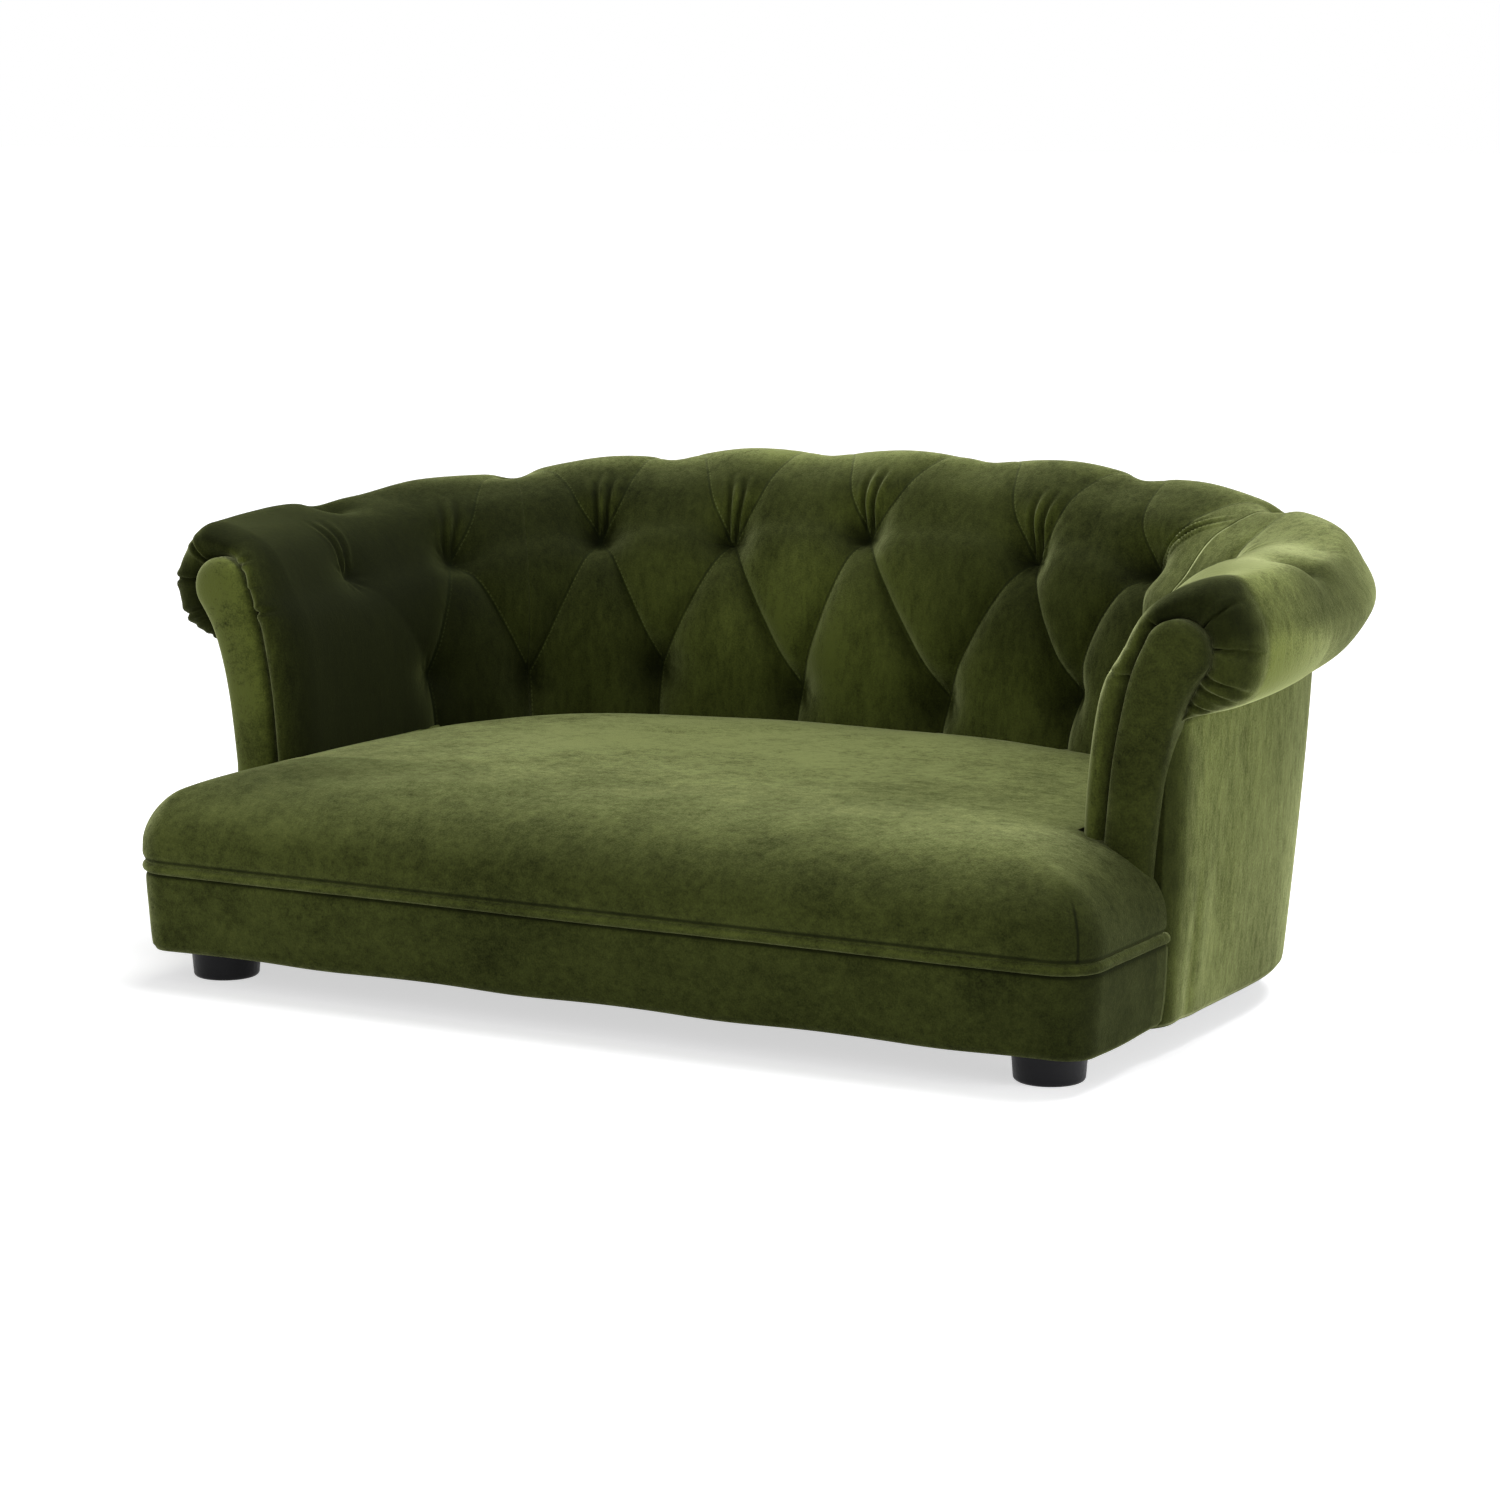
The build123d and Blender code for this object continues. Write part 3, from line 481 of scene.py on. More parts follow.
# Shader maths
class Value:
    """A number inside a material; arithmetic on it adds the maths nodes that it needs."""

    def __init__(self, paint, socket):
        self.paint = paint
        self.socket = socket

    def maths(self, operation, *values, clamp=False):
        settings = {"operation": operation, "use_clamp": clamp}
        return self.paint.node("ShaderNodeMath", settings, dict(enumerate(values)))

    def __add__(self, other):
        return self.maths("ADD", self, other)

    def __radd__(self, other):
        return self.maths("ADD", other, self)

    def __sub__(self, other):
        return self.maths("SUBTRACT", self, other)

    def __rsub__(self, other):
        return self.maths("SUBTRACT", other, self)

    def __mul__(self, other):
        return self.maths("MULTIPLY", self, other)

    def __rmul__(self, other):
        return self.maths("MULTIPLY", other, self)

    def __truediv__(self, other):
        return self.maths("DIVIDE", self, other)

    def __rtruediv__(self, other):
        return self.maths("DIVIDE", other, self)

    def __pow__(self, other):
        return self.maths("POWER", self, other)

    def __lt__(self, other):
        return self.maths("LESS_THAN", self, other)

    def __abs__(self):
        return self.maths("ABSOLUTE", self)

    def fraction(self):
        return self.maths("FRACT", self)

    def clamped(self):
        return self.maths("ADD", self, 0.0, clamp=True)


class Nodes:
    """A node tree being built, cleared down to its output."""

    def __init__(self, tree, output):
        tree.nodes.clear()
        self.tree = tree
        self.output = tree.nodes.new(output)

    def node(self, kind, settings=None, values=None, out=0):
        """Add a node: its settings first, then the numbers or links of its sockets."""
        node = self.tree.nodes.new(kind)
        for key, value in (settings or {}).items():
            setattr(node, key, value)
        for key, value in (values or {}).items():
            self.join(value, node.inputs[key])
        return Value(self, node.outputs[out])

    def join(self, value, socket):
        """Link a value to a socket, or set the socket to a plain number or colour."""
        if isinstance(value, Value):
            self.tree.links.new(value.socket, socket)
        else:
            socket.default_value = value

    def show(self, surface):
        self.join(surface, self.output.inputs["Surface"])

    def backdrop(self):
        """1 for rays that see the surface itself, straight or in gloss or glass, and 0 for its light."""
        kinds = ("Camera", "Glossy", "Transmission")
        straight, gloss, glass = (self.node("ShaderNodeLightPath", out=f"Is {kind} Ray") for kind in kinds)
        return (straight + gloss + glass).clamped()


class Paint(Nodes):
    """A procedural material being built, with a Principled shader already wired to its output."""

    def __init__(self, name, **constants):
        self.material = bpy.data.materials.new(name)
        self.material.use_nodes = True
        super().__init__(self.material.node_tree, "ShaderNodeOutputMaterial")
        self.shader = self.principled(**constants)
        self.show(Value(self, self.shader.outputs[0]))

    def principled(self, **constants):
        """A Principled shader with the constants on its own sockets."""
        shader = self.tree.nodes.new("ShaderNodeBsdfPrincipled")
        for key, value in constants.items():
            shader.inputs[key.replace("_", " ").title().replace("Ior", "IOR")].default_value = value
        return shader

    def feed(self, name, value, *others):
        """Join a value to a socket of the first shader, and of other shaders."""
        for shader in (self.shader, *others):
            self.join(value, shader.inputs[name])

    def blend(self, other, share):
        """Mix another shader with the first one, which has the given share."""
        ends = {1: Value(self, other.outputs[0]), 2: Value(self, self.shader.outputs[0])}
        self.show(self.node("ShaderNodeMixShader", {}, {"Fac": share, **ends}))

    def place(self):
        """Object coordinates, in metres from the sofa's origin."""
        return self.node("ShaderNodeTexCoord", out="Object")

    def uv(self, title, axes="XY"):
        """Chosen numbers of one of the piece's UV maps."""
        return self.parts(self.node("ShaderNodeUVMap", {"uv_map": title}), axes)

    def parts(self, vector, axes):
        """Chosen coordinates of a vector."""
        split = self.tree.nodes.new("ShaderNodeSeparateXYZ")
        self.join(vector, split.inputs[0])
        return [Value(self, split.outputs[axis]) for axis in axes]

    def noise(self, scale, detail=2.0, stretch=None, rough=0.5, distortion=0.0):
        """Noise from 0 to 1; a stretch squeezes or draws out the pattern along each axis."""
        where = self.place()
        if stretch:
            where = self.node("ShaderNodeMapping", {}, {"Vector": where, "Scale": stretch})
        sockets = {"Vector": where, "Scale": scale, "Detail": detail}
        sockets.update({"Roughness": rough, "Distortion": distortion})
        return self.node("ShaderNodeTexNoise", {}, sockets, out="Fac")

    def spread(self, value, low, high, new_low=0.0, new_high=1.0):
        """Map a range of values smoothly onto another."""
        sockets = {"Value": value, "From Min": low, "From Max": high, "To Min": new_low, "To Max": new_high}
        return self.node("ShaderNodeMapRange", {"interpolation_type": "SMOOTHSTEP"}, sockets)

    def mix(self, share, first, second):
        """Mix of two colours."""
        return self.node("ShaderNodeMix", {"data_type": "RGBA"}, {0: share, 6: first, 7: second}, out=2)

    def bump(self, height, distance, strength):
        """Normal roughened by a height."""
        return self.node("ShaderNodeBump", {}, {"Height": height, "Distance": distance, "Strength": strength})


def velvet(name, tone, painted_side_light, sewn=False, streak=(1, 1, 0.35)):
    """Cut-pile velvet: a sheeny and a dull shader mixed by a tone of painted light and shade, with
    sewn seams if asked.

    The tone is painted light and shade over the piece, given by a function of the paint, broken up by
    brushed clouds, finer wipes and a grain, which are a random mottle. What faces -X is painted lighter
    and what faces +X darker, in proportion to the normal's X.
    """
    gloss = {"sheen_weight": 1.0, "sheen_roughness": 0.45, "sheen_tint": (0.78, 0.84, 0.42, 1)}
    paint = Paint(name, roughness=0.85, specular_ior_level=0.10, **gloss)
    gloss = {"sheen_weight": 0.16, "sheen_roughness": 0.4, "sheen_tint": (0.64, 0.74, 0.24, 1)}
    dull = paint.principled(roughness=0.9, specular_ior_level=0.05, **gloss)
    cloud = paint.noise(8.0, 3.0, stretch=streak, rough=0.6, distortion=0.5) - 0.5
    wipe = paint.noise(38.0, 3.0, stretch=streak, rough=0.65) - 0.5
    fuzz = paint.noise(190.0, 3.0, stretch=streak, rough=0.7) - 0.5
    grain = paint.noise(900.0, 2.0) - 0.5
    (facing_x,) = paint.uv("lean", "X")
    uneven = cloud * 1.1 + wipe * 1.1 + fuzz * 1.5 + grain * 1.3 + 1.0
    # Painted light and shade: the region tone, lighter where the face turns to -X, times a random mottle.
    painted_light_and_mottle = tone(paint) * (1.0 - facing_x * painted_side_light) * uneven
    if sewn:
        fold_light, pit_shade = paint.uv("fold")
        # Painted highlight on fold ridges, painted shade in fold grooves and round the pits.
        painted_light_and_mottle = painted_light_and_mottle * (fold_light * 0.75 + 1.0) * (1.0 - pit_shade * 0.8)
    # Base colour from near black to olive by the painted light and mottle.
    colour = paint.mix(painted_light_and_mottle.clamped(), (0.004, 0.005, 0.0015, 1), (0.110, 0.134, 0.022, 1))
    if sewn:
        run, across = paint.uv("seam")
        # Painted shade line in each seam's crease; the thread beside it has its own colour, scaled by the
        # painted light.
        crease_shade = paint.spread(abs(across), 0.0003, 0.0014, 1.0, 0.0)
        thread = paint.spread(abs(across - 0.0016), 0.0002, 0.0007, 1.0, 0.0)
        dash = (run / 0.0034).fraction() < 0.62
        colour = paint.mix(crease_shade * 0.55, colour, (0.006, 0.009, 0.002, 1))
        colour = paint.mix(thread * dash * (painted_light_and_mottle * 1.2).clamped() * 0.8, colour, (0.16, 0.19, 0.06, 1))
    paint.feed("Base Color", colour, dull)
    paint.feed("Normal", paint.bump(grain * 0.5 + fuzz * 0.5, 0.0008, 0.6), dull)
    # The sheeny shader's share follows the painted light, so the places painted bright also get the sheen.
    paint.blend(dull, (painted_light_and_mottle * 1.25 - 0.08).clamped())
    return paint.material


def bell(value, centre, width):
    """Soft bump of height 1: 1 / (1 + (distance / width) ** 4)."""
    return 1 / (((value - centre) / width) ** 4 + 1)


def pad_painted_light(paint):
    """Painted light and shade of the tufted pads over place (-1 to 1 from left to right) and share (0 to 1
    up the face).

    Painted shade towards the left, in the left arm's hollow, on the right diamonds, where the face turns
    upward, and on the right roll's side and front; painted highlights along the crest, on the middle
    diamonds, on the left arm's lip and on the right roll's top, underside and inner lip. Each line is one
    region.
    """
    place, share = paint.uv("painted_light_and_mottle")
    (rising,) = paint.uv("lean", "Y")
    spread = paint.spread
    left = spread(place, -0.85, 0.0, 0.26, 1.0)
    hollow_shade = 1 - spread(place, -0.52, -0.70) * spread(share, 0.58, 0.38) * 0.55
    head = 1 + spread(place, -0.955, -0.980) * spread(share, 0.60, 0.50, -0.3, 4.6)
    fold = 1 - spread(rising, 0.02, 0.62) * spread(share, 0.76, 0.68) * spread(place, 0.52, 0.44) * 0.58
    crest = 1 + bell(share, 0.715, 0.04) * spread(place, 0.30, -0.20) * 1.1
    middle = 1 + bell(place, -0.14, 0.17) * bell(share, 0.37, 0.11) * 0.45
    right = 1 - spread(place, -0.08, 0.28) * bell(share, 0.40, 0.12) * 0.42
    ridge = bell(share, 0.55, 0.055) + bell(share, 0.62, 0.09) * spread(place, 0.80, 0.88) * 0.55
    top = 1 + spread(place, 0.60, 0.78) * spread(place, 0.955, 0.925) * ridge
    low = spread(share, 0.755, 0.82) * spread(place, 0.75, 0.85) * 2.3
    roll = 1 + spread(place, 0.52, 0.66) * (spread(share, 0.56, 0.64) * 0.35 + low)
    side = 1 - bell(place, 0.765, 0.095) * bell(share, 0.735, 0.075) * 0.60
    edge = (0.72 - share).clamped() * 0.25 + place
    front = 1 - spread(edge, 0.946, 0.968) * spread(share, 0.48, 0.56) * 0.81
    inner_lip = spread(share, 0.48, 0.38) - spread(share, 0.50, 0.60)
    lip = 1 + spread(place, 0.940, 0.962) * inner_lip * 0.35
    inside = left * hollow_shade * fold * crest * middle * right
    return inside * head * top * roll * side * front * lip * 0.60


def seat_painted_light(paint):
    """Painted light and shade of the seat, welt, band and facings.

    Painted shade low down in front, on the band, at the right front corner, on the left of the top and
    its front, on the right facing, along the corner darts and in the creases above and below the welt;
    painted highlights on the top, on the right of the top, on the left facing and on the welt's cord.
    """
    x, y, z = paint.parts(paint.place(), "XYZ")
    spread = paint.spread
    low = spread(z, 0.150, 0.125)
    ahead = spread(y, -0.143, -0.149)
    corner = 1 - spread(x, 0.27, 0.345) * low * ahead * 0.30
    front = 1 - spread(x, -0.30, 0.0) * low * ahead * 0.28 - spread(z, 0.0785, 0.0745) * 0.14
    top = spread(z, 0.138, 0.156) * spread(y, -0.20, -0.02) * bell(x, -0.06, 0.20) * 0.62 + 0.80
    left = 1 - spread(x, -0.10, -0.30) * spread(z, 0.115, 0.150) * ahead * 0.40
    flat = spread(z, 0.130, 0.150) * spread(z, 0.185, 0.170)
    left = left * (1 - spread(x, -0.12, -0.26) * flat * 0.20) * (1 + spread(x, 0.14, 0.24) * flat * 0.12)
    between = spread(y, -0.149, -0.1465) * spread(abs(x), 0.300, 0.322)
    facing = 1 + between * (spread(x, 0.0, -0.1) * 1.2 - spread(x, 0.0, 0.1) * 0.34)
    dart_shade = 1 - bell(abs(x) + y, 0.1085, 0.0013) * spread(z, 0.127, 0.117) * spread(z, 0.085, 0.088) * 0.75
    cord = dart_shade + bell(z, 0.0835, 0.0020) * 0.5 - (bell(z, 0.0876, 0.0013) + bell(z, 0.0772, 0.0013)) * 0.75
    return corner * front * top * left * facing * cord * 0.60


def outside_painted_light(paint):
    """Painted light and shade of the outside panels: light overall, with painted shade in an uneven band along
    the rolled front edge, and a little darker towards the back.
    """
    y = paint.parts(paint.place(), "Y")[0] + (paint.noise(14.0, 2.0) - 0.5) * 0.030
    return paint.spread(y, -0.130, -0.098, 0.16, 0.60) * (1 - paint.spread(y, -0.09, 0.02) * 0.22)


TUFTED = velvet("tufted_velvet", pad_painted_light, 0.6, sewn=True)
SEAT_CLOTH = velvet("seat_velvet", seat_painted_light, 0.6, streak=(0.8, 1, 1))
OUTSIDE_CLOTH = velvet("outside_velvet", outside_painted_light, 0.0)


LIP_START = LENGTH - 0.024
LIP_BULGE = 0.0246
LIP_ANGLES = np.linspace(0, np.pi * 0.78, 26)
STEP = 0.0017
PAD_COLUMNS = 200

# Gathers round an arm's lip: share, skew, length and depth of each
GATHERS = [
    (0.40, 0.1, 0.034, 0.0022), (0.53, -0.1, 0.030, 0.0024), (0.70, 0.15, 0.040, 0.0030),
    (0.79, 0.2, 0.048, 0.0034), (0.87, 0.1, 0.046, 0.0034), (0.895, 0.1, 0.038, 0.0026),
    (0.94, 0.1, 0.038, 0.0026),
]


def turned_lip(place, share, line, normal, height, back):
    """Rows by which an arm's front turns in, and their backs: half an ellipse on to the facing's outline."""
    front = Stations(np.array([place]))
    core = lip_target(line)
    fuller = np.interp(share, [0, 0.42, 0.55, 0.85, 1], [1.38, 1.38, 1.1, 1, 0.8])
    rows, behind = [], []
    for angle in LIP_ANGLES[1:]:
        inward = (1 - math.cos(angle)) / (1 - math.cos(LIP_ANGLES[-1]))
        section = line + normal * height[:, None] * (1 - inward) + (core - line) * inward
        row = front.at(section[None])[0]
        row[:, 1] -= LIP_BULGE * math.sin(angle) * fuller
        rows.append(row)
        behind.append(back - (0, LIP_BULGE * max(0, math.sin(angle) - 0.4), 0))
    return rows, behind


def gathered(face, share, lip_rows):
    """Press short creases over the lip: each is a narrow hump across, fading along its length."""
    steps = np.linalg.norm(np.diff(face, axis=0), axis=-1).mean(axis=1)
    back_run = np.append(np.cumsum(steps[::-1])[::-1], 0)
    outward = np.cross(np.gradient(face, axis=1), np.gradient(face, axis=0))
    outward /= np.linalg.norm(outward, axis=-1, keepdims=True) + 1e-12
    middle = face.mean(axis=(0, 1))
    if np.sum(outward[:-lip_rows] * (face[:-lip_rows] - middle)) < 0:
        outward = -outward
    width = np.linalg.norm(np.diff(face[-lip_rows - 2], axis=0), axis=-1).sum()
    for at, skew, length, deep in GATHERS:
        offset = (share[None, :] - at) * width - skew * back_run[:, None]
        fade = (1 - smooth(length * 0.45, length, back_run)) * smooth(0.002, 0.007, back_run)
        dent = 0.5 * hump(np.abs(offset), 0.0045, 0.0032) - hump(offset, 0, 0.0013)
        face = face + outward * (deep * fade[:, None] * dent)[..., None]
    return face


def tufted_pad(name, places, lip=False):
    """Tufted pad: its face at every place, closed by its back.

    Each section is the face line pushed out by the tufting height, then the same line sunk by the
    pad's thickness. An arm's front turns in as a lip.
    """
    share = np.linspace(0, 1, PAD_COLUMNS)
    stations = Stations(places)
    line, normal = face_lines(stations, share)
    height, run, across, fold_light, pit_shade = tufting(places, share, stations.at(line))
    face = stations.at(line + normal * height[..., None])
    few = np.linspace(1, 0, 26)
    back_line, back_normal = face_lines(stations, few)
    back = stations.at(back_line - back_normal * pad_thickness(few)[None, :, None])
    if lip:
        rows, behind = turned_lip(places[-1], share, line[-1], normal[-1], height[-1], back[-1])
        face = np.concatenate([face, rows])
        back = np.concatenate([back, behind])
        turned = ((0, len(rows)), (0, 0))
        run, fold_light, pit_shade = (np.pad(values, turned) for values in (run, fold_light, pit_shade))
        across = np.pad(across, turned, constant_values=UNSEWN)
        face = gathered(face, share, len(rows))
    blank = np.zeros(back.shape[:2] + (2,))
    more = np.arange(1, len(face) - len(places) + 1)
    around = np.append(places, places[-1] + np.sign(places[-1]) * 0.0008 * more) / LENGTH
    layers = {
        "seam": np.concatenate([np.stack([run, across], -1), blank + (0, UNSEWN)], axis=1),
        # Place and share, on which the pads' painted light and shade are laid.
        "painted_light_and_mottle": np.stack(np.broadcast_arrays(around[:, None], np.append(share, few)[None, :]), -1),
        # The fold map carries the painted light of the folds and the painted shade round the pits.
        "fold": np.concatenate([np.stack([fold_light, pit_shade], -1), blank], axis=1),
    }
    return tube(name, np.concatenate([face, back], axis=1), layers)


pad = tufted_pad("tufted_back", np.linspace(-PAD_SPLIT, PAD_SPLIT, int(2 * PAD_SPLIT / STEP)))
finish_piece(pad, "tufted_velvet", TUFTED, "back_pad", fill=0.8)
arm_places = np.linspace(PAD_SPLIT, LIP_START, int((LIP_START - PAD_SPLIT) / STEP))
for name, side in (("left", -1), ("right", 1)):
    pad = tufted_pad("tufted_" + name + "_arm", side * arm_places, lip=True)
    finish_piece(pad, "tufted_velvet", TUFTED, name + "_arm_pad", fill=0.8)


# Scroll facings
def facing(name, side):
    """Padded scroll facing: rings of its outline drawn towards its middle line, crowned like a cushion."""
    centre, half, tangent, across = facing_sides()
    out = across * (half[:, None] + 0.0016)
    turn = np.linspace(0, np.pi, 32)[1:-1, None]
    head = centre[-1] + (half[-1] + 0.0016) * (np.cos(turn) * across[-1] + np.sin(turn) * tangent[-1])
    outline = np.concatenate([centre + out, head, (centre - out)[::-1]])
    middle = np.concatenate([centre, np.repeat(centre[-1:], len(turn), axis=0), centre[::-1]])
    share = np.sin(np.linspace(0, 1, 14) * np.pi / 2)[:, None]
    ring = middle + (outline - middle) * share[..., None]
    y = FRONT_Y - 0.0045 - 0.0088 * np.sqrt(np.maximum(0, 1 - share**2.4))
    grid = np.stack([side * ring[..., 0], np.broadcast_to(y, ring.shape[:2]), ring[..., 1]], -1)
    edge = grid[-1:].copy()
    edge[..., 1] = FRONT_Y + 0.010
    grid = np.concatenate([grid, edge])
    rows, columns = grid.shape[:2]
    back_ring = list(range((rows - 1) * columns, rows * columns))
    return mesh_piece(name + "_scroll_facing", grid, grid_quads(rows, columns, closed=True), [back_ring])


for name, side in (("left", -1), ("right", 1)):
    finish_piece(facing(name, side), "seat_velvet", SEAT_CLOTH, name + "_facing", fill=0.9)


# Outside panels
PANEL_HEM = 0.021


def outside_panel(name, places, front=None):
    """Outside panel: a leaning, slightly crowned skin carried round the base, its front edge rolled in."""
    stations = Stations(places)
    rise = np.linspace(0, 1, 60)
    top = (stations.crest - stations.height - 0.0005)[:, None]
    z = PANEL_HEM + (top - PANEL_HEM) * rise
    r = stations.base[:, None] + stations.lean[:, None] * rise + 0.0016 * np.sin(np.pi * rise)
    r = r - 0.003 * (1 - np.clip((z - PANEL_HEM) / 0.006, 0, 1)) ** 2
    inner_rise = rise[::-6]
    z_in = PANEL_HEM + (top - PANEL_HEM) * inner_rise
    r_in = stations.base[:, None] + stations.lean[:, None] * inner_rise - 0.004
    if front is not None:
        gone = np.abs(places - front)[:, None]
        rolled = 0.0075 * (1 - np.clip(gone / 0.020, 0, 1)) ** 2.2
        fold = hump(gone, 0.036 + 0.010 * rise, 0.007) * (1 - smooth(0.25, 0.62, rise))
        r = r - rolled - 0.0011 * fold + 0.0005 * hump(gone, 0.052, 0.010) * (1 - smooth(0.3, 0.7, rise))
        r_in = r_in - rolled
    wave = 0.0004 * np.sin(places * 95)[:, None] * np.sin(rise * 5) + 0.0003 * np.sin(places * 37 + 1)[:, None]
    outer = stations.at(np.stack([r + wave * (rise * (1 - rise) * 4), z], -1))
    inner = stations.at(np.stack([r_in, z_in], -1))
    return tube(name, np.concatenate([outer, inner], axis=1))


for name, side in (("left", -1), ("right", 1)):
    places = side * np.linspace(PAD_SPLIT, LENGTH, 190)
    panel = outside_panel("outside_" + name, places, front=side * LENGTH)
    finish_piece(panel, "outside_velvet", OUTSIDE_CLOTH, "outside_" + name + "_panel")
panel = outside_panel("outside_back", np.linspace(-PAD_SPLIT, PAD_SPLIT, 220))
finish_piece(panel, "outside_velvet", OUTSIDE_CLOTH, "outside_back_panel")


# Seat
SEAT_HALF, SEAT_FRONT, CORNER = 0.3680, -0.2595, 0.030
WING_Y = FRONT_Y - 0.0023
SEAT_EDGE_Z, SEAT_FOOT_Z = 0.100, 0.078
REAR_HALF = 0.3070


def seat_height(x, y):
    """Height of the seat's top: 100 + 58 (1 - exp(-(d / 29.2) ** 0.694)) mm, d the distance from its edge.

    Near the edge d follows the rounded corner; further in it is a power mean of the distances to the
    front and to the side, so that the crown has no diagonal ridge.
    """
    ahead = np.maximum(y - SEAT_FRONT, 0)
    side = np.maximum(SEAT_HALF - np.abs(x), 0)
    corner = CORNER - np.hypot(CORNER - ahead, CORNER - side)
    near = np.where((ahead < CORNER) & (side < CORNER), corner, np.minimum(ahead, side))
    near = np.maximum(near, 0)
    mean = (np.maximum(ahead, 1e-6) ** -6 + np.maximum(side, 1e-6) ** -6) ** (-1 / 6)
    blend = smooth(0.012, 0.050, near)
    d = near * (1 - blend) + mean * blend
    z = SEAT_EDGE_Z + 0.058 * (1 - np.exp(-((d / 0.0292) ** 0.694)))
    ripple = 0.0005 * np.sin(x * 43 + 2 * np.sin(y * 21)) * np.sin(y * 31 + 1.3) * smooth(0.02, 0.08, d)
    back = np.abs(x) / 0.2984
    rear = TURN_Y + 0.1784 * np.maximum(0, 1 - np.minimum(back, 1) ** 2.6) ** (1 / 2.6)
    return z + ripple - 0.005 * np.exp(-np.maximum(rear - y, 0) / 0.012) * (back < 1) * (y > TURN_Y)


def plan_line(half, front, radius, rear, counts):
    """Plan from the left rear end round the front to the right rear end, and its outward directions.

    The counts are the points of half the front, of a rounded corner and of a side.
    """
    turn = np.linspace(0, np.pi / 2, counts[1])[1:]
    corner = np.stack([half - radius + radius * np.sin(turn), front + radius - radius * np.cos(turn)], -1)
    front_x = np.linspace(0, half - radius, counts[0])
    side_y = np.linspace(front + radius, rear, counts[2])[1:]
    face = np.stack([front_x, np.full_like(front_x, front)], -1)
    side = np.stack([np.full_like(side_y, half), side_y], -1)
    one = np.concatenate([face, corner, side])
    line = np.concatenate([one[:0:-1] * (-1, 1), one])
    out = np.gradient(line, axis=0)
    out = np.stack([out[:, 1], -out[:, 0]], -1)
    return line, out / np.linalg.norm(out, axis=1, keepdims=True)


def seat_piece():
    """Whole seat skin: side and front walls, the T's top, and the part between the arms."""
    counts = (110, 20, 34)
    outline, outward = plan_line(SEAT_HALF, SEAT_FRONT, CORNER, WING_Y, counts)
    half_count = (len(outline) + 1) // 2
    target = np.interp(np.arange(half_count), [0, counts[0] - 1, half_count - 1], [0, 0.3135, SEAT_HALF])
    target = np.concatenate([-target[:0:-1], target])
    depth = np.linspace(0, 1, 84) ** 1.7
    goal = np.stack([target, np.full_like(target, WING_Y)], -1)
    plan = outline[:, None] + (goal - outline)[:, None] * depth[None, :, None]
    top = np.concatenate([plan, seat_height(plan[..., 0], plan[..., 1])[..., None]], -1)
    drop = np.linspace(0, 1, 15)[1:]
    inset = 0.0034 * smooth(0.35, 0.8, drop) - 0.0004 * np.sin(np.pi * drop)
    wall = outline[:, None] - outward[:, None] * inset[None, :, None]
    wall_z = np.broadcast_to(SEAT_EDGE_Z - (SEAT_EDGE_Z - SEAT_FOOT_Z) * drop, wall.shape[:2])
    wall = np.concatenate([wall, wall_z[..., None]], -1)
    skin = np.concatenate([wall[:, ::-1], top], axis=1)
    inner = np.flatnonzero(np.abs(target) <= REAR_HALF)
    edge_x = target[inner]
    power = INNER_PLAN[2]
    rear = TURN_Y + 0.186 * np.maximum(0, 1 - (np.abs(edge_x) / REAR_HALF) ** power) ** (1 / power)
    rear_y = WING_Y + (rear - WING_Y)[:, None] * np.linspace(0, 1, 90)[None, 1:]
    rear_x = np.broadcast_to(edge_x[:, None], rear_y.shape)
    rear_top = np.stack([rear_x, rear_y, seat_height(rear_x, rear_y)], -1)
    foot = rear_top[:, -1:] * (1, 1, 0) + (0, 0, SEAT_FOOT_Z)
    rear_top = np.concatenate([top[inner, -1:], rear_top, foot], axis=1)
    points = np.concatenate([skin.reshape(-1, 3), rear_top.reshape(-1, 3)])
    rear_quads = grid_quads(*rear_top.shape[:2]) + skin.shape[0] * skin.shape[1]
    return mesh_piece("seat", points, np.concatenate([grid_quads(*skin.shape[:2]), rear_quads]))


finish_piece(seat_piece(), "seat_velvet", SEAT_CLOTH, "seat_cover", fill=0.9)


# Band and welt
BASE_COUNTS = (150, 22, 30)


def welt():
    """Piped welt: a round cord under cloth carried round the base, with a slight waver."""
    line, out = plan_line(0.3656, -0.2556, 0.027, FRONT_Y + 0.002, BASE_COUNTS)
    run = np.append(0, np.cumsum(np.linalg.norm(np.diff(line, axis=0), axis=1)))[:, None]
    turn = np.linspace(0, 2 * np.pi, 21)[:-1]
    radius = 0.0037 + 0.00005 * np.sin(run * 120)
    across = radius * np.cos(turn)
    z = 0.0819 + 0.00025 * np.sin(run * 23) + radius * np.sin(turn)
    points = line[:, None] + out[:, None] * across[..., None]
    return tube("seat_piping", np.concatenate([points, z[..., None]], -1))


